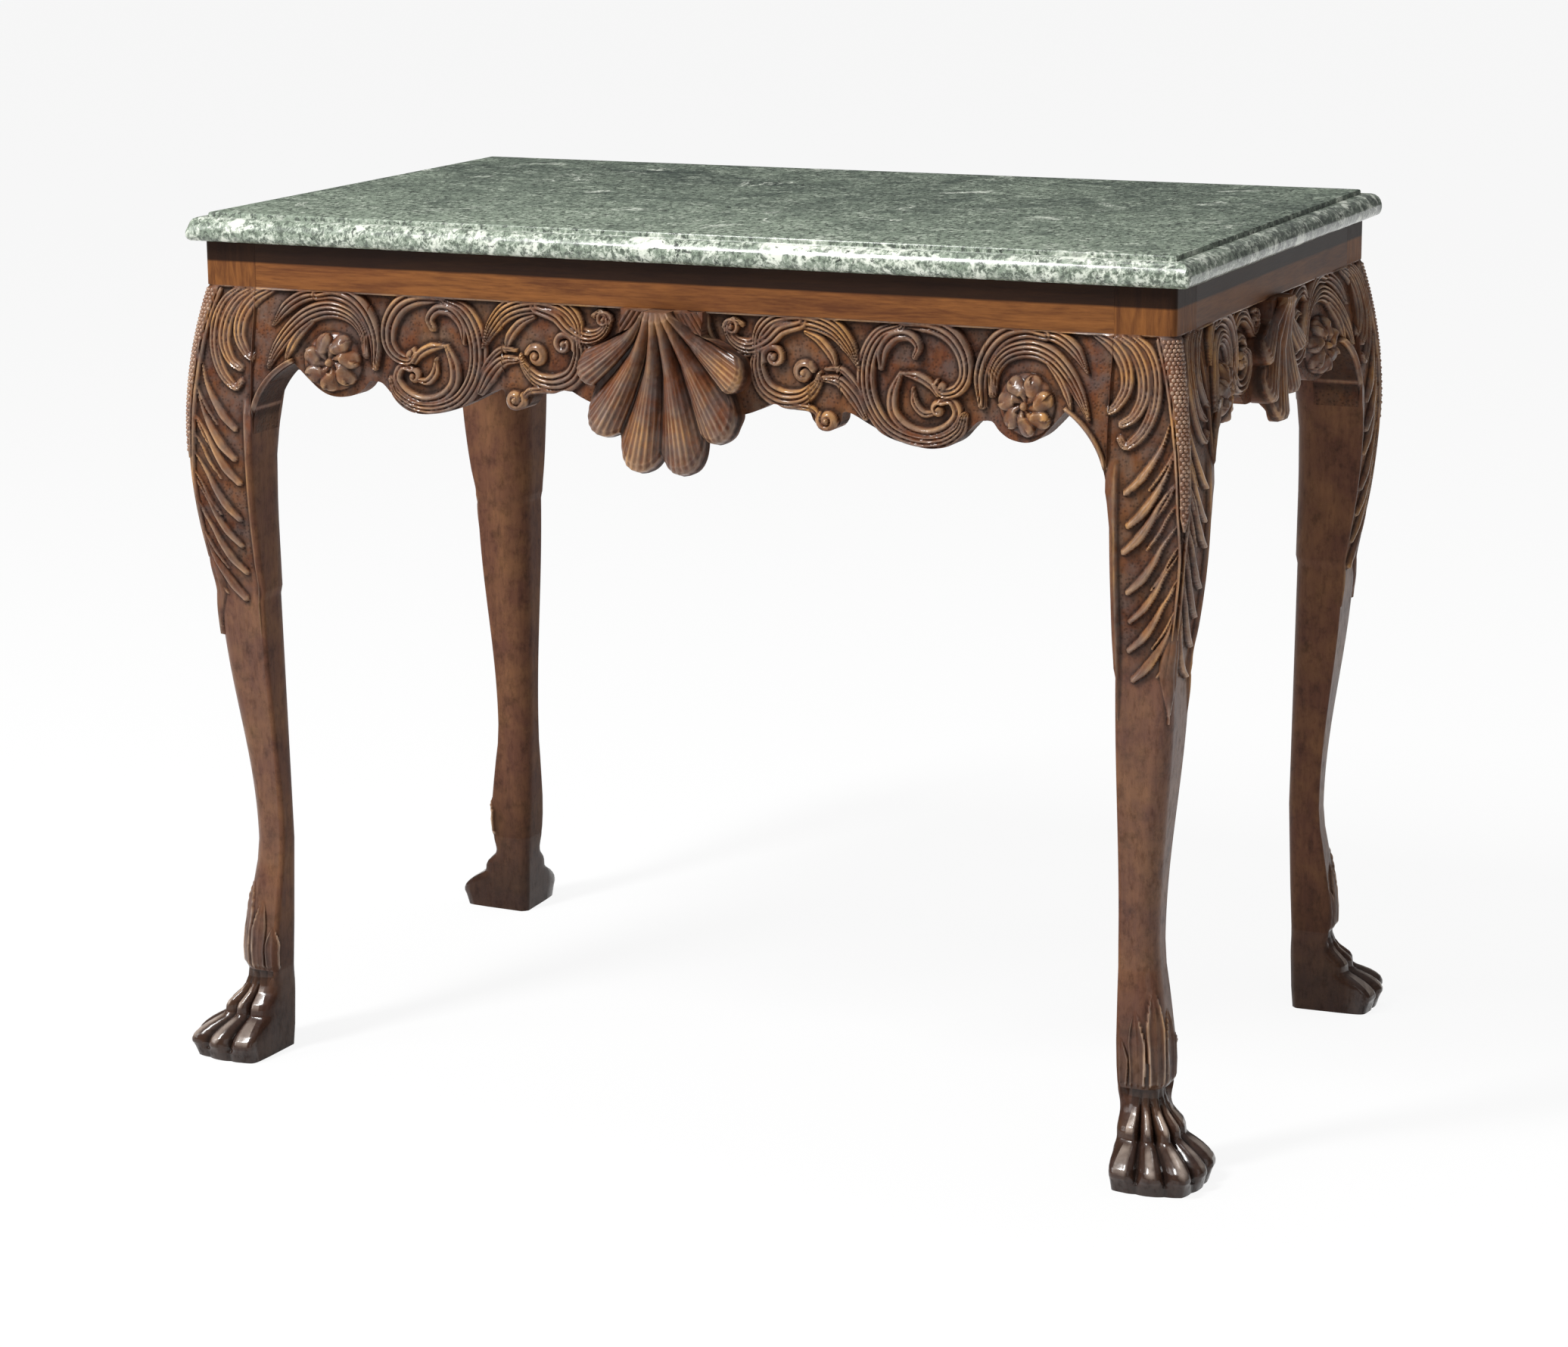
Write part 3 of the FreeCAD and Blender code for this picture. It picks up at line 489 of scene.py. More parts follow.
class Carving:
    """Relief over the points of one carved face, in millimetres over its ground."""

    def __init__(self, u, z):
        self.shape = u.shape
        self.u = u.ravel()
        self.z = z.ravel()
        self.height = np.zeros(u.size)

    def grid(self):
        return self.height.reshape(self.shape)

    def strand(self, path, half, height, reeds=1):
        """Strand along a path, with its half width and height from start to end, cut into reeds."""
        line = smooth_path(path)
        reach = max(half)
        low, high = line.min(0) - reach, line.max(0) + reach
        beside = (self.u > low[0]) & (self.u < high[0])
        near = np.flatnonzero(beside & (self.z > low[1]) & (self.z < high[1]))
        if not near.size:
            return
        du = self.u[near, None] - line[None, :, 0]
        dz = self.z[near, None] - line[None, :, 1]
        away = du * du + dz * dz
        index = away.argmin(1)
        pick = (np.arange(near.size), index)
        along = np.gradient(line, axis=0)[index]
        side = np.sign(along[:, 0] * dz[pick] - along[:, 1] * du[pick])
        share = index / (len(line) - 1)
        width = np.interp(share, np.linspace(0, 1, len(half)), half)
        across = np.sqrt(away[pick]) * side / np.maximum(width, 0.3)
        inside = np.abs(across) < 1
        across = across[inside]
        rise = np.interp(share[inside], np.linspace(0, 1, len(height)), height)
        rise = rise * (1 - across ** 2) ** 0.3 * (1 - STRAND_TILT + STRAND_TILT * across)
        if reeds > 1:
            groove = np.abs(np.sin(math.pi * reeds * (across + 1) / 2)) ** 0.7
            cut = sizes().reed_cut
            rise = rise * (1 - cut + cut * groove)
        chosen = near[inside]
        self.height[chosen] = np.maximum(self.height[chosen], rise)

    def boss(self, centre, radius, height):
        """Round knob."""
        away = np.hypot(self.u - centre[0], self.z - centre[1]) / radius
        inside = away < 1
        self.height[inside] = np.maximum(self.height[inside], height * np.sqrt(1 - away[inside] ** 2))

    def curl(self, centre, radius, turn, turns, half, height):
        """Spiral scroll that winds in to a knob."""
        self.strand(volute(centre, 1.0, 0.3, turn, turns, radius), half, height)
        self.boss(centre, radius * 0.36, height[-1] + 1.0)


# Stop under the knee: its height, and its face over the frieze face. Then the radius of the knee's corner.
STOP_HEIGHT, STOP_FACE = 437.0, 2.0
CORNER_ROUND = 9.0

# On the knee the carving is shallower: its ground's depth before scaling, and the scale.
KNEE_GROUND, KNEE_SCALE = 5.0, 0.72

# Lower edges of the aprons from the middle to the bracket, and of a bracket up to the top of its arch,
# where u is counted from the leg.
APRON_EDGE = {
    "front": [(0, 628), (60, 628), (72, 629.5), (84, 634), (94, 639), (101, 640), (108, 637), (118, 635.5),
              (129, 635), (133, 628), (139, 622), (147, 620), (154, 622.5), (158.5, 629), (160, 636),
              (168, 635.5), (185, 627), (205, 617.5), (222, 612.8), (238, 611), (253, 613), (264, 618.5),
              (273, 628), (281, 635.5), (289, 637)],
    "right": [(0, 628), (50, 628), (60, 632), (70, 638), (90, 640), (106, 637)],
}
BRACKET_EDGE = [(-112, 637), (-107, 636), (-101, 629), (-92, 623.5), (-80, 621.5), (-70, 623), (-62, 627.5),
                (-54, 635), (-46, 643.5), (-39.5, 650.5)]
ARCH_RADIUS, ARCH_FOOT = 72.8, 586.0

# Strands of an apron: path, half widths, heights and reeds, from the shell towards the bracket.
FRONT_STRANDS = [
    ([(36, 715), (37, 699), (45, 686), (59, 680), (76, 681)], (2.5, 3.5, 4, 4, 2.5), (6, 7, 6), 2),
    ([(122, 713), (104, 707), (91, 695), (77, 688), (64, 691), (57, 701), (62, 709), (69, 706)],
     (8, 8.5, 8, 6.5, 5, 3.5, 2.5), (9, 9, 8, 8), 4),
    ([(84, 682), (88, 699), (102, 711), (128, 714), (152, 707), (167, 692), (177, 673)],
     (4, 8, 9, 9, 8, 6, 1.2), (8, 10, 10.5, 9), 5),
    ([(128, 702), (140, 696), (151, 684), (156, 670)], (2, 4, 4, 1), (7, 8, 6), 2),
    ([(85, 688), (83, 670), (90, 653), (106, 645), (124, 647), (137, 658), (141, 668)],
     (4, 6.5, 7.5, 8, 7, 5, 2), (8, 9, 9, 8), 4),
    ([(144, 664), (158, 662), (170, 651), (181, 634)], (2.5, 5, 6, 3), (7, 8, 7), 3),
    ([(146, 672), (160, 672), (173, 660), (183, 644)], (1.5, 3, 3, 1.5), (6, 7, 6), 2),
    ([(214, 712), (196, 704), (185, 687), (182, 664), (188, 642), (203, 624), (226, 615.5), (249, 617),
      (265, 627), (270, 640)], (4, 6.5, 7.5, 7.5, 7, 6.5, 6, 5.5, 5, 3), (9, 10, 9, 8, 8), 4),
    ([(196, 676), (198, 692), (208, 703), (221, 704), (229, 696), (226, 687)], (2, 4.5, 5.5, 5, 4, 2.5),
     (8, 10, 10), 2),
    ([(216, 713), (240, 713.5), (258, 706), (269, 691), (271, 674), (264, 662), (252, 658), (245, 664)],
     (3, 6, 7, 7, 6.5, 5.5, 4.5, 3), (9, 10.5, 10, 9), 3),
    ([(213, 672), (206, 655), (207, 639), (219, 627), (238, 623), (255, 629), (264, 641), (259, 652),
      (249, 651)], (2, 4.5, 5, 5, 4.5, 4.5, 4.5, 4, 3), (8, 9, 8.5, 8.5), 2),
    ([(216, 672), (229, 670), (240, 664), (246, 656)], (1.5, 4, 4, 2), (7, 8, 7), 2),
    ([(224, 660), (226, 648), (234, 640), (244, 641)], (1.5, 3.5, 3.5, 2), (7, 8, 7), 2),
    ([(104, 641), (122, 639), (134, 637), (140, 630)], (2, 3, 3, 2), (5, 6, 6), 2),
]

# Curls of an apron: middle, radius, degrees at which it starts, turns, half widths and heights.
FRONT_CURLS = [
    ((99, 680), 9.5, 200, -1.1, (3, 3.5, 3), (8, 8, 8)),
    ((126, 668), 9.5, 20, 1.1, (3, 3.5, 3), (8, 8, 8)),
    ((247, 644), 6.5, 60, 1.0, (2.5, 2.5, 2), (8, 8, 8)),
    ((249, 663), 6, 120, 1.0, (2, 2.5, 2), (8, 8, 8)),
    ((60, 703), 7, 180, -1.0, (2, 2.5, 2), (7, 8, 8)),
    ((147, 629), 9, 150, 1.3, (3, 3.5, 3), (7, 8, 9)),
]
END_STRANDS = [
    ([(108, 700), (94, 710), (76, 709), (60, 700), (48, 690), (37, 695), (37, 705), (44, 708)],
     (5, 7, 7.5, 7, 5.5, 4, 3, 2.5), (9, 10, 9, 8), 4),
    ([(107, 686), (103, 666), (90, 652), (73, 650), (61, 659), (61, 672), (71, 678)],
     (4, 6, 7, 6.5, 5.5, 4.5, 3), (8, 9, 9, 8), 3),
    ([(104, 648), (88, 645), (72, 643), (58, 645)], (2, 3, 3, 1.5), (5, 6, 5), 2),
    ([(92, 688), (80, 690), (70, 685), (66, 676)], (1.5, 3.5, 3.5, 2), (7, 8, 7), 2),
]
END_CURLS = [
    ((78, 668), 8, 40, 1.0, (2.5, 3, 2.5), (8, 8, 8)),
    ((42, 700), 6.5, 0, -1.0, (2, 2.5, 2), (7, 8, 8)),
]

# Strands over the bracket and the knee, where u is counted from the leg.
KNEE_STRANDS = [
    ([(-115, 650), (-116, 674), (-109, 694), (-96, 708), (-78, 714), (-60, 711)], (3, 5.5, 6.5, 7, 7, 5),
     (9, 10, 11, 10), 3),
    ([(-66, 712), (-48, 710), (-32, 700), (-20, 684)], (4, 5.5, 5, 1.2), (9, 10, 8), 3),
    ([(-106, 660), (-104, 680), (-92, 694), (-72, 699), (-52, 693), (-36, 679), (-24, 662), (-17, 647)],
     (3, 4.5, 6, 7, 7, 6.5, 5, 1.5), (8, 9, 10, 9, 8), 4),
    ([(-56, 688), (-44, 676), (-36, 662), (-33, 652)], (2, 3.5, 3.5, 1.2), (7, 8, 6), 2),
    ([(-16, 715), (1, 706), (12, 691), (14, 674), (7, 660), (1, 655)], (3, 5.5, 6, 5.5, 4.5, 3),
     (8, 9, 9, 8), 3),
    ([(0, 715), (17, 704), (27, 687), (29, 668), (22, 652), (12, 645)], (3, 5, 5.5, 5.5, 4.5, 3),
     (8, 9, 9, 8), 3),
    ([(15, 715), (30, 703), (38, 684), (38, 660), (30, 640), (17, 628), (11, 633)],
     (3, 4.5, 5, 5, 4.5, 4, 2.5), (8, 9, 8, 8), 3),
]

# Bead along the arch of a bracket, and its offset from the edge.
ARCH_BEAD = np.linspace(-39, -3, 14)
ARCH_BEAD_OFFSET = (1.5, 2.5)

# Rosette of a bracket. A petal runs outward from the eye: distance from the middle and bend in radians.
ROSETTE_CENTRE, ROSETTE_RADIUS, ROSETTE_EYE = (-75, 653), 27.5, 4.6
PETAL_CURVE = [(5, -0.5), (11.5, -0.12), (18, 0.3)]
PETAL_HALF, PETAL_HEIGHT = (3.2, 7.0, 8.5), (11, 15.5, 14)

# Half the width of the bead strip on the knee's corner, by height, and the stem beside it, from the top down.
BEAD_STRIP = [(560, 0), (572, 3.4), (640, 6), (678, 8), (716, 11.5)]
STEM_HEIGHTS = np.array([712, 680, 645, 610, 575, 540, 505, 470])

# Fronds of the knee: their line to the tip, counted from the tip, how far over the tip they leave the stem,
# their half widths and heights, those of the thin frond beside each, and where the tips are.
FROND_CURVE = [(30, 41), (22, 26), (11.5, 11), (0, 0)]
FROND_LENGTH = 60
FROND_HALF, FROND_HEIGHT = (0.6, 1.5, 2.8, 3.7, 2.6), (3, 5.5, 7, 8.5, 8)
THIN_HALF, THIN_HEIGHT = (0.5, 0.9, 1.3, 0.9), (2.5, 4, 5, 4)
FROND_TIPS = [(19, 590), (22, 565), (18, 543), (18, 508), (19, 484), (17, 457), (20, 433)]


def to_world(side, u, d, z):
    """Points of a side's frame in the table's own frame."""
    out = {"front": (u, -HALF_DEPTH - d), "right": (HALF_LENGTH + d, u), "back": (-u, HALF_DEPTH + d),
           "left": (-HALF_LENGTH - d, -u)}[side]
    return np.stack(np.broadcast_arrays(*out, z), axis=-1)


def like_side(side):
    """The side that a side's carving is drawn for."""
    return "front" if side in ("front", "back") else "right"


def arc_sag(away, run, rise):
    """Fall of an arc that starts level and falls by the rise over the run."""
    radius = (run * run + rise * rise) / (2 * rise)
    return radius - np.sqrt(np.maximum(radius * radius - away * away, 0))


def knee_face(z):
    """Outer face of the knee over the frieze face, from the stop up to the frieze."""
    high, bulge = sizes().knee_height, sizes().knee_bulge
    up = arc_sag(np.clip(z - high, 0, FRIEZE_LOW - high), FRIEZE_LOW - high, bulge)
    down = arc_sag(np.clip(high - z, 0, high - STOP_HEIGHT), high - STOP_HEIGHT, bulge - STOP_FACE)
    return bulge - up - down


def edge_height(outline, u):
    line = smooth_path(outline, 0.5)
    return np.interp(u, line[:, 0], line[:, 1])


def bracket_edge(u):
    """Lower edge of a bracket: the rosette's lobe, then an arch that runs down to the leg."""
    arch = ARCH_FOOT + np.sqrt(np.maximum(ARCH_RADIUS ** 2 - (u + ARCH_RADIUS) ** 2, 0))
    return np.where(u < BRACKET_EDGE[-1][0], edge_height(BRACKET_EDGE, u), arch)


def bead_half(z):
    """Half the width of the bead strip on the knee's corner."""
    return lookup(BEAD_STRIP, z)


def corner_run(z):
    """Distance from the leg's inner edge to the middle of its rounded corner, along the face."""
    return POST_WIDTH + knee_face(z) - CORNER_ROUND * (1 - math.pi / 4)


def carve_strands(carving, strands):
    for path, half, height, reeds in strands:
        carving.strand(path, [width * sizes().strand_width for width in half], height, reeds)


def carve_knee(carving):
    """Scroll, rosette, arch bead and fronds of a bracket and the knee beside it."""
    carve_strands(carving, KNEE_STRANDS)
    arch = np.stack([ARCH_BEAD, bracket_edge(ARCH_BEAD)], axis=1) + ARCH_BEAD_OFFSET
    carving.strand(arch, (2.2, 2.4, 2.2), (10, 9, 8))
    u, z = ROSETTE_CENTRE
    for petal in range(sizes().petals):
        angle = 2 * math.pi * petal / sizes().petals
        path = [(u + reach * math.cos(angle + bend), z + reach * math.sin(angle + bend))
                for reach, bend in PETAL_CURVE]
        carving.strand(path, PETAL_HALF, PETAL_HEIGHT)
    carving.boss(ROSETTE_CENTRE, ROSETTE_RADIUS * 0.95, 8.0)
    carving.boss(ROSETTE_CENTRE, ROSETTE_EYE, 15.0)
    stem = corner_run(STEM_HEIGHTS) - bead_half(STEM_HEIGHTS) - 3.0
    carving.strand(list(zip(stem, STEM_HEIGHTS)), (2.0, 1.8, 1.4), (7, 6.5, 5))
    chance = np.random.default_rng(11)
    for tip_u, tip_z in FROND_TIPS:
        lean, drop, swell = chance.uniform(-1, 1, 3)
        tip_u, tip_z, swell = tip_u + 2.5 * lean, tip_z + 2.5 * drop, 1 + 0.15 * swell
        start = tip_z + FROND_LENGTH
        spine = float(corner_run(start) - bead_half(start)) - 4
        path = [(spine, start)] + [(tip_u + u, tip_z + z) for u, z in FROND_CURVE]
        carving.strand(path, [swell * half for half in FROND_HALF], FROND_HEIGHT)
        beside = [(u + 8, z - 8) for u, z in path[:4]]
        carving.strand(beside, [swell * half for half in THIN_HALF], THIN_HEIGHT)


# Rim left standing under the frieze: its height over the ground, and where it rises.
RIM_HEIGHT = 8.0
RIM_RISE = (713.0, 714.5)

# Height of carving that counts as the highest in the finish, in mm.
HIGH_CARVING = 11.0


def carved_grid(low, u):
    """Points of a board's face, in even columns from the lower edge to the frieze."""
    rows = int((FRIEZE_LOW - low.min()) / sizes().grain) + 1
    share = np.linspace(0, 1, rows)
    z = low[:, None] + (FRIEZE_LOW - low[:, None]) * share
    return np.repeat(u[:, None], rows, axis=1), z


def with_back(values, behind):
    """Values of a face's columns, followed by those of the two points behind each column's ends."""
    return np.concatenate([values, behind], axis=1)


def carved_height(height):
    """Height of the carving for the finish, from 0 on the ground to 1."""
    return np.clip(height / HIGH_CARVING, 0, 1)


def board(name, side, u, z, height, surface):
    """Carved board from a grid of points, closed to a flat back."""
    plain = np.zeros((len(u), 2))
    fields = {key: with_back(values, values[:, [-1, 0]])
              for key, values in (("height", carved_height(height)), ("ridge", ridge_field(height)))}
    fields["polish"] = with_back(np.ones_like(height), plain)
    u, z = (with_back(values, values[:, [-1, 0]]) for values in (u, z))
    points = to_world(side, u, with_back(surface, plain - RAIL_THICK), z)
    return loft_mesh(name, points, fields, "polished_carving")


def make_apron(side):
    """Carved apron board between two brackets of a side."""
    kind = like_side(side)
    line = LEG_LINE[kind]
    end = line - BRACKET_LENGTH
    half = np.linspace(0, end, int(end / sizes().grain))
    u, z = carved_grid(edge_height(APRON_EDGE[kind], half), half)
    carving = Carving(u, z)
    carve_strands(carving, FRONT_STRANDS if kind == "front" else END_STRANDS)
    for curl in FRONT_CURLS if kind == "front" else END_CURLS:
        carving.curl(*curl)
    knee = Carving(u - line, z)
    carve_knee(knee)
    height = np.maximum(carving.grid(), knee.grid())
    height = np.maximum(height, RIM_HEIGHT * ease(z, *RIM_RISE))
    height, z = (np.concatenate([values[:0:-1], values]) for values in (height, z))
    u = np.concatenate([-u[:0:-1], u])
    return board(f"carved_apron_{side}", side, u, z, height, height - sizes().ground_depth)


def make_bracket(side, end, mirror):
    """Carved knee bracket beside a leg."""
    line = LEG_LINE[like_side(side)]
    from_leg = np.linspace(-BRACKET_LENGTH, 0, int(BRACKET_LENGTH / sizes().grain))
    u, z = carved_grid(bracket_edge(from_leg), from_leg)
    carving = Carving(u, z)
    carve_knee(carving)
    height = np.maximum(carving.grid(), RIM_HEIGHT * ease(z, *RIM_RISE))
    swell = knee_face(z) * ease(u, -BRACKET_LENGTH, -18.0)
    near = ease(u, -70.0, 0.0)
    fade = 1 - ease(z, FRIEZE_LOW - 3, FRIEZE_LOW - 0.5) * near
    lowered = sizes().ground_depth * (1 - near) + KNEE_GROUND * near
    surface = swell + (height - lowered) * (1 - (1 - KNEE_SCALE) * near) * fade
    along = (u + line) * (-1 if mirror else 1)
    return board(f"carved_bracket_{side}_{end}", side, along, z, height, surface)


# Lobes of the shells on one side of the middle: degrees from upright, length and half the angle it covers.
SHELL_LOBES = {"front": [(10.5, 138, 11.0), (33, 124, 11.5), (56, 100, 12.0)],
               "right": [(0, 105, 12.0), (25, 92, 12.5), (51, 72, 13.0)]}
SHELL_BLOCK = {"front": 42.0, "right": 28.0}
SHELL_RISE = {"front": 20.0, "right": 14.0}
SHELL_POINTS = {"front": (470, 130), "right": (330, 105)}
SHELL_WIDEST = 97.0
SHELL_SQUEEZE = 0.91
HINGE_DROP = 5.0
UMBO_HALF = 11.0

# Along a lobe from the hinge to the rim: its crown, the depth of the grooves between lobes, and its level in
# the finish, paler at the hinge and rim as painted light and darker in the hollow middle as painted shade.
SHELL_CROWN = [(0, 1.0), (0.06, 1.1), (0.15, 0.95), (0.4, 0.72), (0.75, 0.9), (0.93, 1), (0.975, 0.88),
               (1, 0.35)]
SHELL_GROOVE = [(0, 0), (0.05, 0.1), (0.3, 0.55), (0.65, 0.66), (1, 0.5)]
SHELL_LIGHT_AND_SHADE = [(0, 1), (0.12, 0.9), (0.3, 0.35), (0.55, 0.3), (0.8, 0.85), (1, 1)]

# Strand over the block beside the front shell's hinge.
SHELL_STRAND = ([(22, 716), (30, 704), (40, 692), (52, 684)], (9, 9, 7, 3), (6, 7, 5), 4)


def shell_rim(kind, angle):
    """Reach of a shell's rim along each angle in degrees, and where each angle lies across its lobe."""
    lobes = np.array([(lean * sign, length, half) for lean, length, half in SHELL_LOBES[kind]
                      for sign in ((1, -1) if lean else (1,))])
    away = (angle[None, :] - lobes[:, :1]) / lobes[:, 2:]
    reach = np.where(np.abs(away) < 1.6, lobes[:, 1:2] * (1 - 0.13 * np.abs(away) ** 2.3), 0)
    best = reach.argmax(0)
    pick = (best, np.arange(len(angle)))
    return reach[pick], np.clip(away[pick], -1.15, 1.15)


def make_shell(side):
    """Scallop shell on the middle of an apron, its ribbed lobes fanned out under a small block."""
    kind = like_side(side)
    columns, rows = SHELL_POINTS[kind]
    angle = np.linspace(-SHELL_WIDEST, SHELL_WIDEST, columns)
    turn = np.radians(angle)
    rim, across = shell_rim(kind, angle)
    lean, _, half = SHELL_LOBES[kind][-1]
    on_block = ease(np.abs(angle), lean + half, lean + half + 2.0)
    above = HINGE_DROP / np.maximum(-np.cos(turn), 0.02)
    beside = SHELL_BLOCK[kind] / np.maximum(np.abs(np.sin(turn)), 0.02)
    rim = rim + (np.minimum(np.minimum(beside, above), 60) - rim) * on_block
    across, on_block = across[:, None], on_block[:, None]
    share = np.linspace(0.006, 1, rows)[None, :]
    rise = SHELL_RISE[kind]
    off_middle = np.minimum(np.abs(across), 1)
    groove = lookup(SHELL_GROOVE, share) * off_middle ** 1.9
    ribs = np.abs(np.cos(math.pi * sizes().shell_ribs * (across + 1) / 2)) ** 1.5
    fine = 0.95 * ease(share, 0.25, 0.75) * (1 - off_middle ** 6)
    lobes = (lookup(SHELL_CROWN, share) - groove) * rise - fine * ribs
    lift = lobes * (1 - on_block) + 0.3 * rise * on_block
    reach = rim[:, None] * share
    umbo = UMBO_HALF * np.clip(angle / lean, -1, 1)[:, None] * (1 - share) ** 3
    u = SHELL_SQUEEZE * reach * np.sin(turn)[:, None] + umbo
    z = FRIEZE_LOW - HINGE_DROP * (1 - (1 - share) ** 4) - reach * np.cos(turn)[:, None]
    strands = Carving(np.abs(u), z)
    if kind == "front":
        strands.strand(*SHELL_STRAND)
    lift = np.maximum(lift, (strands.grid() + 0.2 * rise) * on_block)
    back = np.full((columns, 2), -sizes().ground_depth - 1.0)
    back[:, 0] += 8.0 * ease(APRON_EDGE[kind][0][1] - z[:, -1], 0.0, 12.0)
    level = lookup(SHELL_LIGHT_AND_SHADE, share) * (1 - 0.3 * on_block)
    crest = (0.3 - 0.95 * off_middle ** 1.6) * ease(share, 0.08, 0.3) * (1 - on_block)
    # The ridge is raised near the hinge as a painted highlight on the umbo.
    ridge = np.clip(ridge_field(lift * 1.3) + crest + 0.35 * (1 - ease(share, 0.05, 0.2)), -1, 1)
    plain = np.zeros((columns, 2))
    fields = {"height": with_back(level, level[:, [-1, 0]]), "ridge": with_back(ridge, plain),
              "polish": with_back(np.ones_like(lift), plain)}
    u, z = (with_back(values, values[:, [-1, 0]]) for values in (u, z))
    points = to_world(side, u, with_back(lift, back), z)
    return loft_mesh(f"carved_shell_{side}", points, fields, "polished_carving", 70.0)


# Points round a leg: each outer face, the outer corner, each side corner, each inner face, the inner corner.
FACE_POINTS, CORNER_POINTS, SIDE_POINTS, INNER_POINTS, BACK_POINTS = 52, 24, 6, 8, 12
ANKLE_HEIGHT, COLLAR_LOW, COLLAR_TOP, KNEE_LOW = 200.0, 79.0, 172.0, 396.0

# Rings up a leg: the heights of each band and how many rings it has, closest where the leg is carved.
LEG_BANDS = [(0, COLLAR_LOW - 0.4, 92), (COLLAR_LOW, COLLAR_TOP, 90), (175, KNEE_LOW - 2, 88),
             (KNEE_LOW, FRIEZE_LOW - 0.4, 280), (FRIEZE_LOW, FRAME_TOP, 6)]

# Sections of a leg by height: the outer and inner faces over the frieze face, and the corners' radii.
ANKLE_FACE, SHAFT_SWELL, POST_CORNER = -15.6, 17.1, 5.0
LEG_FACE = [(79, -4.5), (85, -3.4), (98, -3.0), (117, -4.4), (140, -7.6), (160, -10.6), (180, -14.0),
            (200, ANKLE_FACE)]
LEG_INNER = [(79, -43.3), (120, -45.5), (200, -48.4), (432, -47.6), (440, -49.5), (500, -49.2), (560, -49.6),
             (582, -51.2), (590, -52), (760, -52)]
SIDE_ROUND = [(79, 4), (200, 4), (430, 3), (441, 4), (560, 5), (580, 3), (590, 0.4), (760, 0.4)]
BACK_ROUND = [(79, 12), (120, 15), (200, 18), (432, 25), (441, 28), (520, 30), (590, 28), (640, 3),
              (760, 1.5)]

# Paw: the toes fan out from an origin inside the leg. Their reach, the grooves between them and the heel go
# by height in mm, the share of the reach by degrees from the corner, the joints by height and half length.
TOE_ORIGIN = -27.0
TOE_STEP = 21.0
TOE_SPLAY = 0.04
TOE_REACH = [(0, 74), (4, 75.5), (8, 77), (11, 78.5), (14, 80.5), (17, 80.5), (21, 78.3), (25, 73.5),
             (29, 67), (33, 58.5), (36, 51.5), (38.5, 48), (41, 47.5), (45, 47), (49, 44.5), (53, 39.5),
             (58, 33), (64, 28), (71, 25), (79, 24)]
TOE_GROOVE = [(0, 2), (8, 3), (11, 6.5), (17, 11.5), (29, 13), (37, 9), (43, 12.5), (51, 11), (58, 6.5),
              (67, 2.5), (79, 0.4)]
TOE_SHARE = [(0, 1.0), (21, 0.885), (42, 0.8), (58, 0.77)]
TOE_JOINTS = [(27, 12), (53, 11)]
HEEL = [(0, -40), (20, -41.5), (50, -42.5), (79, -43.3)]

# Degrees round the paw where its outer face starts and ends.
PAW_FACE = (-12, 102)

# Leaves of the collar over the paw: middle counted round from the corner, height of the tip, half width.
COLLAR_LEAVES = [(0.0, 165.0, 9.5), (17.0, 146.0, 8.5), (32.0, 122.0, 8.0)]

# Leaf that ends the knee's carving: heights where it starts, is widest and ends, and its half width.
TAIL_LOW, TAIL_WIDEST, TAIL_END, TAIL_HALF = 394, 452, 490, 11.0

# How high plain parts of a leg and its paw count as carving in the finish.
PLAIN_LEVEL, PAW_LEVEL = 0.36, 0.3


def to_corner(corner, a, b, z):
    """Points of a corner's frame in the table's own frame."""
    for _ in range(CORNER_TURNS[corner]):
        a, b = -b, a
    x = HALF_LENGTH if corner.endswith("right") else -HALF_LENGTH
    y = HALF_DEPTH if corner.startswith("rear") else -HALF_DEPTH
    return np.stack(np.broadcast_arrays(x + a, y + b, z), axis=-1)


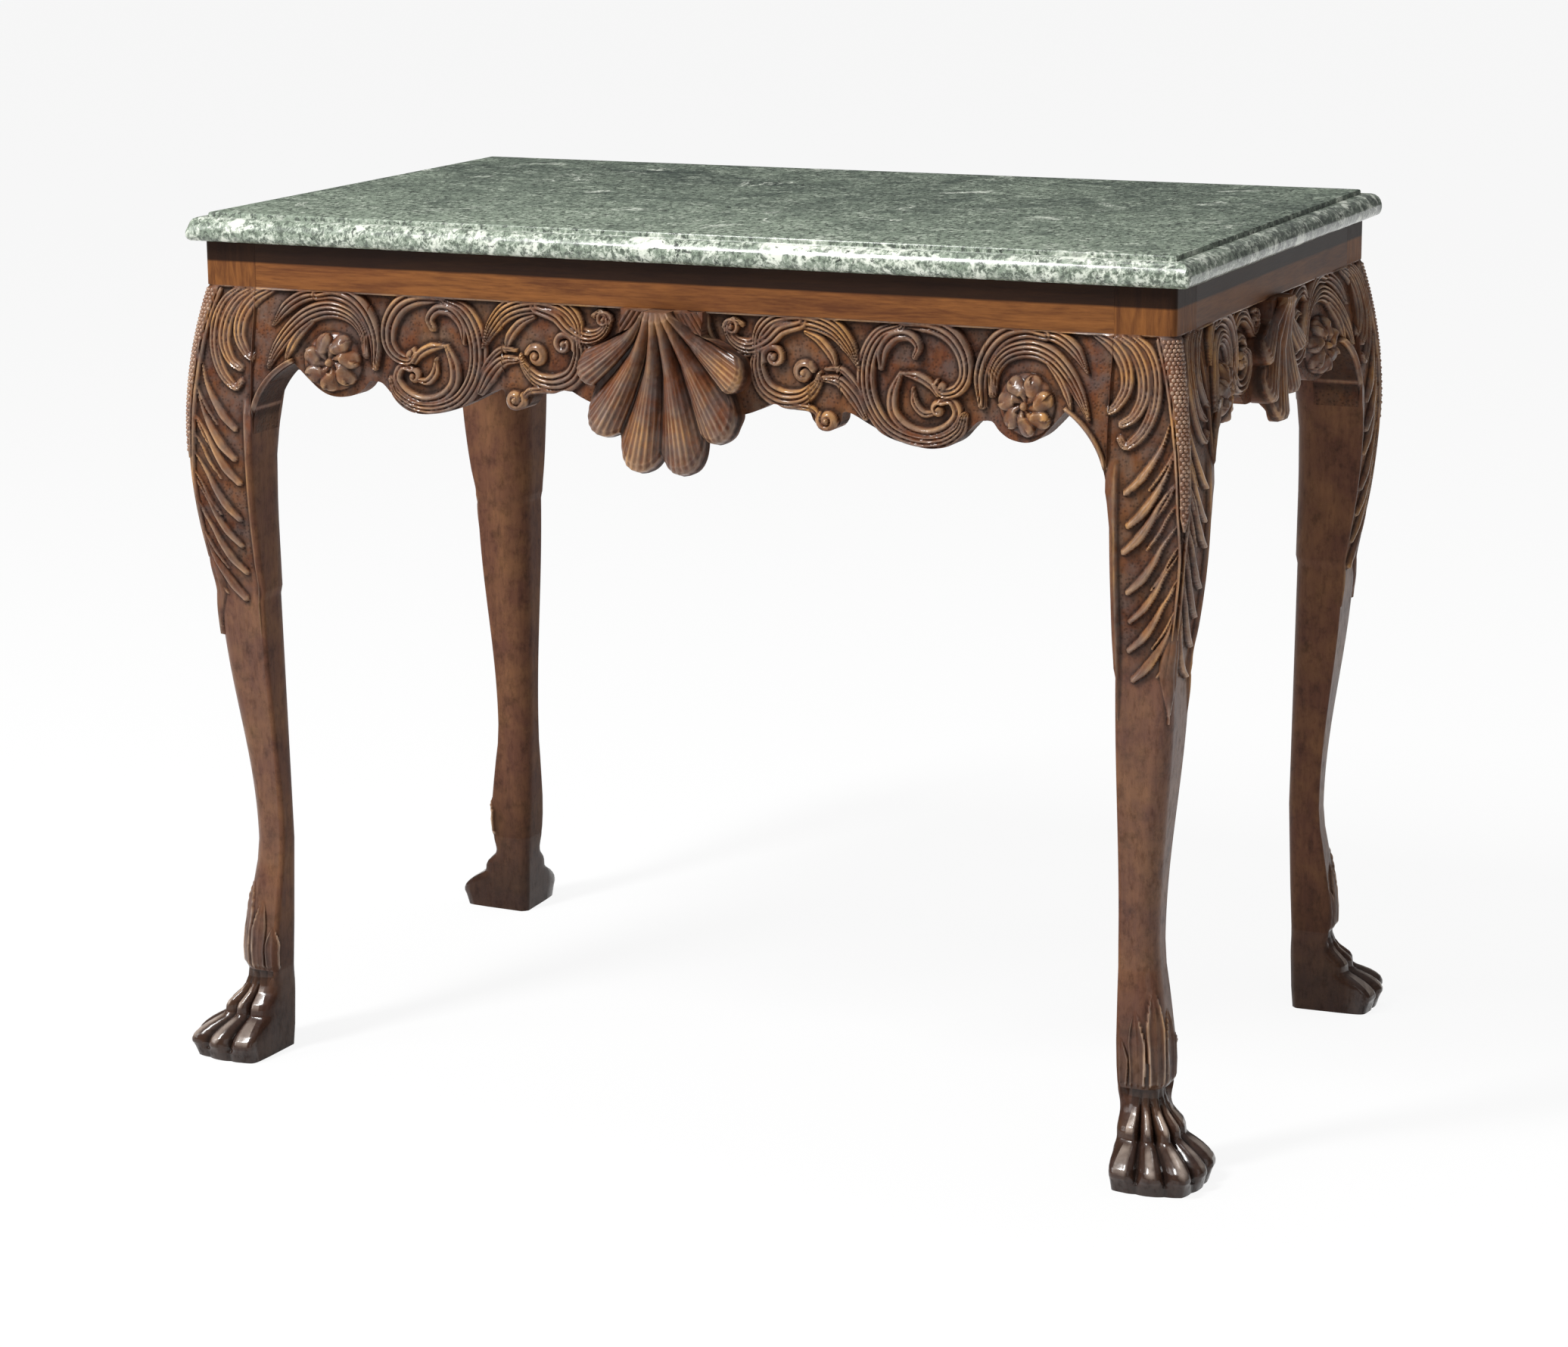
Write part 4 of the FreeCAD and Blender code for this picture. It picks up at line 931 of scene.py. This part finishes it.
def leg_outline(z):
    """Level sections of a leg above the paw: points a, b and outward normals round each ring."""
    rise = ease(z, ANKLE_HEIGHT, STOP_HEIGHT)
    up = np.clip((z - ANKLE_HEIGHT) / (STOP_HEIGHT - ANKLE_HEIGHT), 0, 1)
    shaft = ANKLE_FACE + SHAFT_SWELL * (1 - np.cos(math.pi * up)) / 2
    shaft = np.where(z < ANKLE_HEIGHT, lookup(LEG_FACE, z), shaft)
    face = shaft + (knee_face(z) - shaft) * ease(z, STOP_HEIGHT - 32, STOP_HEIGHT + 32)
    face = np.where(z >= FRIEZE_LOW, 0.0, face)
    inner = lookup(LEG_INNER, z)
    half = (face - inner) / 2
    outer = half * (0.96 - 0.5 * rise)
    outer = outer + (CORNER_ROUND - outer) * ease(z, STOP_HEIGHT - 60, STOP_HEIGHT + 10)
    outer = np.where(z >= FRIEZE_LOW, POST_CORNER, outer)
    side = lookup(SIDE_ROUND, z)
    back = lookup(BACK_ROUND, z)
    face, inner, outer, side, back = (values[:, None] for values in (face, inner, outer, side, back))
    run = np.linspace(0, 1, FACE_POINTS, endpoint=False)[None, :]
    inner_run = np.linspace(0, 1, INNER_POINTS, endpoint=False)[None, :]
    still = np.zeros_like(run)
    inner_still = np.zeros_like(inner_run)

    def arc(centre_a, centre_b, radius, start, count):
        turn = np.radians(start + 90 * np.linspace(0, 1, count, endpoint=False))[None, :]
        across, up = np.cos(turn), np.sin(turn)
        return centre_a + radius * across, centre_b + radius * up, across, up

    low, high, near, far = inner + side, face - outer, inner + back, face - side
    parts = [(face + still, low + (high - low) * run, still + 1, still),
             arc(high, high, outer, 0, CORNER_POINTS),
             (high + (low - high) * run, face + still, still, still + 1),
             arc(low, far, side, 90, SIDE_POINTS),
             (inner + inner_still, far + (near - far) * inner_run, inner_still - 1, inner_still),
             arc(near, near, back, 180, BACK_POINTS),
             (near + (far - near) * inner_run, inner + inner_still, inner_still, inner_still - 1),
             arc(far, low, side, 270, SIDE_POINTS)]
    column = np.zeros((len(z), 1))
    return [np.concatenate([part[item] + column for part in parts], axis=1) for item in range(4)]


def paw_outline(z, angle):
    """Distance from the toes' origin to the paw along each angle in degrees, and the toes' crests, where a
    painted highlight runs.
    """
    z = z[:, None]
    away = np.abs((angle + 135) % 360 - 180)
    toe = np.minimum(np.round(away / TOE_STEP), 2)
    across = np.where(away > 2 * TOE_STEP, 0, np.abs(away - TOE_STEP * toe) / (TOE_STEP / 2))
    front = lookup(TOE_REACH, z) * lookup(TOE_SHARE, away) - lookup(TOE_GROOVE, z) * across ** 2.4
    past = np.radians(away - 45)
    heel = TOE_ORIGIN - lookup(HEEL, z)
    side = heel / np.maximum(np.sin(past) + TOE_SPLAY * np.cos(past), 0.02)
    reach = (front ** -8.0 + side ** -8.0) ** (-1 / 8)
    segment = np.maximum(*(1 - np.abs(z - middle) / half for middle, half in TOE_JOINTS))
    # Crest: where a painted highlight runs along each toe's two joints.
    crest = np.clip(1 - (across / 0.42) ** 2, 0, 1) * np.clip(segment * 2, 0, 1) * (away < 2.4 * TOE_STEP)
    return np.where(away > 135, np.minimum(reach, heel * 1.17), reach), crest


def collar_relief(z, away):
    """Pointed ribbed leaves of the collar over the paw."""
    relief = np.zeros_like(away)
    for middle, tip, half in COLLAR_LEAVES:
        share = np.clip((tip - z) / (tip - COLLAR_LOW), 0, 1)
        width = half * np.minimum(1, 1.9 * share ** 0.7) * (1 - 0.25 * share)
        across = np.abs(away - middle) / np.maximum(width, 0.2)
        inside = (across < 1) & (z < tip)
        rib = 1.7 * np.exp(-((across - 0.84) / 0.15) ** 2) + 0.5 * np.exp(-(across / 0.17) ** 2)
        rise = np.minimum(1, 5 * share)
        relief = np.where(inside, np.maximum(relief, (0.9 + rib) * rise), relief)
    return relief * ease(z, COLLAR_LOW, COLLAR_LOW + 6)


def knee_relief(z, away):
    """Carved height of a knee, and how far it moves the surface out from the plain knee, in mm."""
    along = corner_run(z) - away
    carving = Carving(along, z)
    carve_knee(carving)
    height = carving.grid()
    height = np.maximum(height, 6.0 * ease(bead_half(z) - away, -1.5, 0.0) * (z > BEAD_STRIP[0][0]))
    height = np.maximum(height, 5.0 * (1 - ease(along, 7.0, 11.0)) * (1 - ease(z, 600, 622)))
    width = TAIL_HALF * ease(z, TAIL_LOW, TAIL_WIDEST)
    leaf = np.sqrt(np.clip(1 - (away / np.maximum(width, 0.5)) ** 2, 0, 1))
    leaf = 5.5 * leaf * (1 - ease(z, TAIL_WIDEST, TAIL_END))
    height = np.maximum(height, leaf * (0.7 + 0.3 * np.abs(np.cos(math.pi * away / 7.0))))
    under = 1 - ease(z, FRIEZE_LOW - 3, FRIEZE_LOW - 0.5)
    level = KNEE_GROUND * ease(z, 412, 480) * under
    height = height * under
    return height, (height - level) * KNEE_SCALE


def make_leg(corner):
    """Leg in one piece: post, carved knee, shaft, leaf collar and a paw of five toes."""
    z = np.concatenate([np.linspace(*band) for band in LEG_BANDS])
    a, b, out_a, out_b = leg_outline(np.maximum(z, COLLAR_LOW))
    edge = np.hypot(np.diff(a, axis=1, prepend=a[:, :1]), np.diff(b, axis=1, prepend=b[:, :1]))
    run = np.cumsum(edge, axis=1)
    middle = FACE_POINTS + CORNER_POINTS // 2
    away = np.abs(run - run[:, middle:middle + 1])
    outer = np.arange(a.shape[1]) < 2 * FACE_POINTS + CORNER_POINTS
    tall = np.repeat(z[:, None], a.shape[1], axis=1)
    level = np.full(a.shape, PLAIN_LEVEL)
    lift = np.zeros(a.shape)
    knee = np.ix_((z > KNEE_LOW) & (z < FRIEZE_LOW), outer)
    height, lift[knee] = knee_relief(tall[knee], away[knee])
    level[knee] = np.maximum(carved_height(height), PLAIN_LEVEL * (1 - ease(tall[knee], 415, 470)))
    collar = (z >= COLLAR_LOW) & (z < COLLAR_TOP)
    lift[collar] = collar_relief(tall[collar], away[collar])
    a, b = a + out_a * lift, b + out_b * lift
    paw = z < COLLAR_LOW
    below = COLLAR_LOW - z[paw]
    first_a, first_b = a[len(below)], b[len(below)]
    top = np.degrees(np.unwrap(np.arctan2(first_b - TOE_ORIGIN, first_a - TOE_ORIGIN)))
    start, end = PAW_FACE
    fan = np.concatenate([np.linspace(start, end, outer.sum(), endpoint=False),
                          np.linspace(end, start + 360, (~outer).sum(), endpoint=False)])
    share = ease(below, 0, 20)[:, None]
    angle = top[None, :] * (1 - share) + fan[None, :] * share
    reach, crest = paw_outline(z[paw], angle)
    blend = np.where(outer[None, :], 1.0, ease(below, 0, 30)[:, None])
    a[paw] = first_a + (TOE_ORIGIN + reach * np.cos(np.radians(angle)) - first_a) * blend
    b[paw] = first_b + (TOE_ORIGIN + reach * np.sin(np.radians(angle)) - first_b) * blend
    ridge = ridge_field(lift)
    groove = np.clip((reach - softened(reach, 3, 7)) / 4.0, -1, 0)
    shade = ease(z[paw], 60, 70) + 0.7 * (1 - ease(z[paw], 6, 14))
    # On the paw the ridge field carries painted shade under the collar and near the floor, besides the
    # grooves, and a painted highlight along each toe's crest.
    ridge[paw] = (groove - 0.5 * shade[:, None]) * (np.abs(angle - 45) < 56) + 0.8 * crest
    level[paw] = PAW_LEVEL
    fields = {"height": level, "ridge": ridge, "polish": np.where(outer[None, :], 1.0, 0.25 * paw[:, None])}
    return loft_mesh(f"carved_leg_{corner}", to_corner(corner, a, b, tall), fields, "polished_carving", 60.0)


# Height of the lowest bead on a knee, in mm.
BEADS_LOW = 568.0


def bead_spots():
    """Middles of the beads on a knee's corner, in the corner's frame."""
    pitch = sizes().bead_pitch
    quarter = CORNER_ROUND * math.pi / 4
    spots = []
    for row, z in enumerate(np.arange(BEADS_LOW, FRIEZE_LOW - 2.5, pitch * 0.88)):
        half = float(bead_half(z))
        count = max(1, int(2 * half / pitch))
        stagger = (row % 2) * 0.5 - 0.25
        face = float(knee_face(z))
        centre = face - CORNER_ROUND
        for column in range(count):
            away = (column - (count - 1) / 2 + stagger) * pitch
            beyond = max(abs(away) - quarter, 0)
            turn = math.radians(45) + math.copysign(min(abs(away), quarter), away) / CORNER_ROUND
            a = centre + CORNER_ROUND * math.cos(turn) - (beyond if away > 0 else 0)
            b = centre + CORNER_ROUND * math.sin(turn) - (beyond if away < 0 else 0)
            spots.append((a, b, z))
    return np.array(spots)


def make_beads(corner):
    """Rows of small round beads down the outer corner of a knee."""
    ball = bmesh.new()
    bmesh.ops.create_icosphere(ball, subdivisions=2, radius=sizes().bead_pitch * 0.52)
    points = np.array([vertex.co for vertex in ball.verts])
    faces = np.array([[vertex.index for vertex in face.verts] for face in ball.faces])
    ball.free()
    spots = to_corner(corner, *bead_spots().T)
    all_points = (spots[:, None, :] + points[None, :, :]).reshape(-1, 3) * MM
    all_faces = (faces[None] + (np.arange(len(spots)) * len(points))[:, None, None]).reshape(-1, 3)
    mesh = bpy.data.meshes.new(f"knee_beads_{corner}")
    mesh.from_pydata(all_points.tolist(), [], all_faces.tolist())
    return add_piece(mesh, "beads_wear_and_sheen")


# Moulded edge of the slab from its underside over the round and the quirk to the flat field: inset, height.
SLAB_EDGE = [(40, 0), (8, 0), (4.6, 0.4), (2.2, 1.8), (0.7, 4.2), (0, 7.6), (0.2, 10.8), (1.3, 14.2),
             (3.3, 17.2), (6.1, 19.5), (9.3, 20.7), (12.8, 21.0), (15.4, 20.8), (16.5, 20.6), (16.9, 21.4),
             (17.0, 23.6), (17.7, 24.7), (19.0, 25.0), (24.0, 25.0), (60.0, 25.0)]
SLAB_CORNER = 5.0
SLAB_ROLL = 17.0
SLAB_POINTS = (90, 54)

# Unevenness of the rounded edge, from long waves to short ones: steps round the slab and their size in mm.
SLAB_WAVES = [(25, 0.3), (80, 0.25), (170, 0.18)]
CHIP_SIZE, CHIP_MOVE = (7, 7, 6), (1.8, 1.8, -1.0)
CORNER_SIGNS = ((1, 1), (-1, 1), (-1, -1), (1, -1))


def slab_ring(inset):
    """Points round the slab at an inset from its widest outline."""
    half = np.array(SLAB_HIGH[:2]) - inset
    radius = max(SLAB_CORNER - inset, 0.4)
    turn = np.radians(np.linspace(0, 90, 9))
    points = []
    for quarter in range(4):
        centre, target = (np.array(CORNER_SIGNS[(quarter + step) % 4]) * (half - radius) for step in (0, 1))
        angle = turn + quarter * math.pi / 2
        corner = centre + radius * np.stack([np.cos(angle), np.sin(angle)], axis=1)
        start = corner[-1]
        end = target + radius * np.array([math.cos(angle[-1]), math.sin(angle[-1])])
        share = np.linspace(0, 1, SLAB_POINTS[quarter % 2] + 2)[1:-1, None]
        points += [corner, start + (end - start) * share]
    return np.vstack(points)


def closed_wave(chance, count, knots, size):
    """Random wave round a closed ring of points."""
    draw = chance.normal(0, size, knots - 1)
    return np.interp(np.arange(count), np.linspace(0, count, knots), np.append(draw, draw[0]))


def make_marble_top():
    """Marble slab with its rounded edge, slightly uneven from hand working, one corner chipped."""
    chance = np.random.default_rng(7)
    count = len(slab_ring(0))
    uneven = np.abs(sum(closed_wave(chance, count, *wave) for wave in SLAB_WAVES))[:, None]
    rings = []
    for inset, height in SLAB_EDGE:
        ring = slab_ring(inset)
        if inset < 14 and 0 < height < 21:
            at_edge = np.abs(ring) > np.array(SLAB_HIGH[:2]) - inset - 1.0
            ring = ring - np.sign(ring) * at_edge * uneven
        rings.append(np.column_stack([ring, np.full(count, SLAB_LOW[2] + height)]))
    points = np.array(rings)
    chip = SLAB_LOW + np.array([1, 1, 15])
    near = np.exp(-(np.linalg.norm((points - chip) / np.array(CHIP_SIZE), axis=-1) ** 2))
    points = points + near[..., None] * np.array(CHIP_MOVE)
    return loft_mesh("marble_slab", points, {}, "veined_marble", 40.0)


def give_material(node, material):
    """Give a CAD node's object one material in all its slots."""
    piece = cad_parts[node]
    for slot in piece.material_slots:
        slot.material = material


class CENTRE_TABLE_OT_marble(bpy.types.Operator):
    """Make the marble slab"""
    bl_idname = "centre_table.marble"
    bl_label = "Marble slab"

    def execute(self, context):
        green_marble()
        stand_for(make_marble_top(), "marble_top")
        return {"FINISHED"}


class CENTRE_TABLE_OT_frieze(bpy.types.Operator):
    """Finish the plain frieze rails"""
    bl_idname = "centre_table.frieze"
    bl_label = "Frieze rails"

    def execute(self, context):
        long_grain = walnut_frieze("frieze_walnut_long", (3.0, 34.0, 34.0), 0.0)
        # The end frieze is a shaded copy: its colour is darkened by painted shade, because that side faces
        # away from the light.
        end_grain_shaded = walnut_frieze("frieze_walnut_end_shaded", (34.0, 3.0, 34.0), 0.3)
        for side in SIDES:
            give_material(f"frieze_rail_{side}", long_grain if like_side(side) == "front" else end_grain_shaded)
        return {"FINISHED"}


class CENTRE_TABLE_OT_legs(bpy.types.Operator):
    """Make the four legs with their carved knees, bead strips and paw feet"""
    bl_idname = "centre_table.legs"
    bl_label = "Legs"

    def execute(self, context):
        walnut_carved()
        beads_wear_and_sheen()
        for corner in CORNER_TURNS:
            stand_for(make_leg(corner), f"leg_{corner}")
            beads = make_beads(corner)
            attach(beads, "root")
        return {"FINISHED"}


class CENTRE_TABLE_OT_aprons(bpy.types.Operator):
    """Make the carved aprons and the shells on them"""
    bl_idname = "centre_table.aprons"
    bl_label = "Aprons and shells"

    def execute(self, context):
        for side in SIDES:
            stand_for(make_apron(side), f"apron_{side}")
            stand_for(make_shell(side), f"shell_{side}")
        return {"FINISHED"}


class CENTRE_TABLE_OT_brackets(bpy.types.Operator):
    """Make the carved knee brackets beside the legs"""
    bl_idname = "centre_table.brackets"
    bl_label = "Knee brackets"

    def execute(self, context):
        ends = {"front": ("right", "left"), "back": ("left", "right"), "right": ("rear", "front"),
                "left": ("front", "rear")}
        for side in SIDES:
            for end, mirror in zip(ends[side], (False, True)):
                stand_for(make_bracket(side, end, mirror), f"knee_bracket_{side}_{end}")
        return {"FINISHED"}


class CENTRE_TABLE_OT_inside(bpy.types.Operator):
    """Finish the unpolished blocks and bearers inside the frame"""
    bl_idname = "centre_table.inside"
    bl_label = "Inside woodwork"

    def execute(self, context):
        wood = secondary_wood()
        inside = [f"corner_block_{corner}" for corner in CORNER_TURNS]
        for node in inside + ["glue_blocks", "cross_bearer_left", "cross_bearer_right"]:
            give_material(node, wood)
        return {"FINISHED"}


# Camera of the photograph: degrees round the table from its front, down and clockwise, and place in metres.
CAMERA_AZIMUTH, CAMERA_ELEVATION, CAMERA_ROLL = 24.18, 13.17, -0.435
CAMERA_PLACE = (1.4313, -3.2167, 1.1655)
CAMERA_LENS, CAMERA_SENSOR = 89.5, 36.0


def photo_camera():
    turns = (CAMERA_AZIMUTH, CAMERA_ELEVATION, CAMERA_ROLL)
    azimuth, elevation, roll = (math.radians(turn) for turn in turns)
    across = Vector((math.cos(azimuth), math.sin(azimuth), 0))
    level = math.cos(elevation)
    look = Vector((-math.sin(azimuth) * level, math.cos(azimuth) * level, -math.sin(elevation)))
    up = across.cross(look)
    right = math.cos(roll) * across + math.sin(roll) * up
    above = math.cos(roll) * up - math.sin(roll) * across
    data = bpy.data.cameras.new("photo_camera")
    data.lens = CAMERA_LENS
    data.sensor_width = CAMERA_SENSOR
    data.sensor_fit = "HORIZONTAL"
    data.clip_end = 100
    camera = bpy.data.objects.new("photo_camera", data)
    facing = Matrix((right, above, -look)).transposed().to_4x4()
    camera.matrix_world = Matrix.Translation(CAMERA_PLACE) @ facing
    bpy.context.scene.collection.objects.link(camera)
    bpy.context.scene.camera = camera


# Lamps: name, place and target in metres, width and height in metres, and power in watts.
LAMPS = [
    ("key", (-1.3, -2.3, 3.6), (0, 0, 0.55), 0.5, 1.5, 185),
    ("window", (-2.6, -2.2, 1.8), (0, 0, 0.5), 1.2, 1.6, 27),
    ("overhead", (0.2, 0.5, 3.3), (0, 0, 0.5), 1.4, 1.4, 26),
    ("fill", (2.6, -2.6, 1.2), (0, 0, 0.5), 1.6, 1.6, 8),
]


def area_light(name, place, target, width, tall, power):
    data = bpy.data.lights.new(name, "AREA")
    data.shape = "RECTANGLE"
    data.size = width
    data.size_y = tall
    data.energy = power
    lamp = bpy.data.objects.new(name, data)
    lamp.location = place
    lamp.rotation_euler = (Vector(target) - Vector(place)).to_track_quat("-Z", "Y").to_euler()
    bpy.context.scene.collection.objects.link(lamp)


# Brightness of the room near the horizon and overhead. The floor's reach in metres, its grey, and the share
# of white that it is seen with.
SKY_LOW, SKY_HIGH = 0.08, 0.36
FLOOR_REACH = 40.0
FLOOR_GREY, FLOOR_WHITE = 0.85, 0.9


def studio_world():
    """Soft room light, brighter overhead than near the horizon."""
    world = bpy.data.worlds.new("studio")
    bpy.context.scene.world = world
    world.use_nodes = True
    tree = world.node_tree
    tree.nodes.clear()
    start = Shade(tree, None)
    direction = start.node("ShaderNodeTexCoord", {}, {}, "Generated")
    height = start.node("ShaderNodeSeparateXYZ", {}, {"Vector": direction}, "Z")
    level = height.spread(0.05, 0.8).mix((SKY_LOW,) * 3, (SKY_HIGH,) * 3)
    soft = start.node("ShaderNodeBackground", {}, {"Color": level, "Strength": 1.0})
    start.node("ShaderNodeOutputWorld", {}, {"Surface": soft})


def studio_floor():
    """Pale floor that the camera and mirror-like surfaces see nearly white, under a faint shadow."""
    finish = Finish("pale_floor")
    rays = finish.node("ShaderNodeLightPath", {}, {}, "Is Camera Ray")
    seen = rays
    for name in ("Is Glossy Ray", "Is Transmission Ray"):
        seen = seen.math("MAXIMUM", seen, Shade(rays.tree, rays.socket.node.outputs[name]))
    paper = finish.node("ShaderNodeBsdfDiffuse", {}, {"Color": (FLOOR_GREY, FLOOR_GREY, FLOOR_GREY, 1)})
    white = finish.node("ShaderNodeEmission", {}, {"Color": (1, 1, 1, 1), "Strength": 1.0})
    mixed = finish.node("ShaderNodeMixShader", {}, {0: seen * FLOOR_WHITE, 1: paper, 2: white})
    finish.node("ShaderNodeOutputMaterial", {}, {"Surface": mixed})
    mesh = bpy.data.meshes.new("floor")
    corners = [(FLOOR_REACH * x, FLOOR_REACH * y, 0) for x, y in ((-1, -1), (1, -1), (1, 1), (-1, 1))]
    mesh.from_pydata(corners, [], [(0, 1, 2, 3)])
    mesh.materials.append(finish.material)
    floor = bpy.data.objects.new("floor", mesh)
    bpy.context.scene.collection.objects.link(floor)


class CENTRE_TABLE_OT_stage(bpy.types.Operator):
    """Set the floor, the studio light and the camera"""
    bl_idname = "centre_table.stage"
    bl_label = "Stage"

    def execute(self, context):
        studio_world()
        studio_floor()
        for lamp in LAMPS:
            area_light(*lamp)
        photo_camera()
        bpy.context.scene.view_settings.view_transform = "Standard"
        return {"FINISHED"}


OPERATORS = (CENTRE_TABLE_OT_marble, CENTRE_TABLE_OT_frieze, CENTRE_TABLE_OT_legs, CENTRE_TABLE_OT_aprons,
             CENTRE_TABLE_OT_brackets, CENTRE_TABLE_OT_inside, CENTRE_TABLE_OT_stage)


class CENTRE_TABLE_PT_panel(bpy.types.Panel):
    """Sizes, colours and makers of the table"""
    bl_label = "Centre table"
    bl_space_type = "VIEW_3D"
    bl_region_type = "UI"
    bl_category = "Centre table"

    def draw(self, context):
        for group in (sizes(), colours()):
            for name in group.bl_rna.properties.keys():
                if name not in ("rna_type", "name"):
                    self.layout.prop(group, name)
        for operator in OPERATORS:
            self.layout.operator(operator.bl_idname)


CLASSES = (TableSizes, TableColours, *OPERATORS, CENTRE_TABLE_PT_panel)


def register():
    for made in CLASSES:
        bpy.utils.register_class(made)
    bpy.types.Scene.centre_table_sizes = PointerProperty(type=TableSizes)
    bpy.types.Scene.centre_table_colours = PointerProperty(type=TableColours)


def unregister():
    del bpy.types.Scene.centre_table_colours
    del bpy.types.Scene.centre_table_sizes
    for made in reversed(CLASSES):
        bpy.utils.unregister_class(made)


def main():
    register()
    bpy.ops.centre_table.marble()
    bpy.ops.centre_table.frieze()
    bpy.ops.centre_table.legs()
    bpy.ops.centre_table.aprons()
    bpy.ops.centre_table.brackets()
    bpy.ops.centre_table.inside()
    bpy.ops.centre_table.stage()


if __name__ == "__main__":
    main()
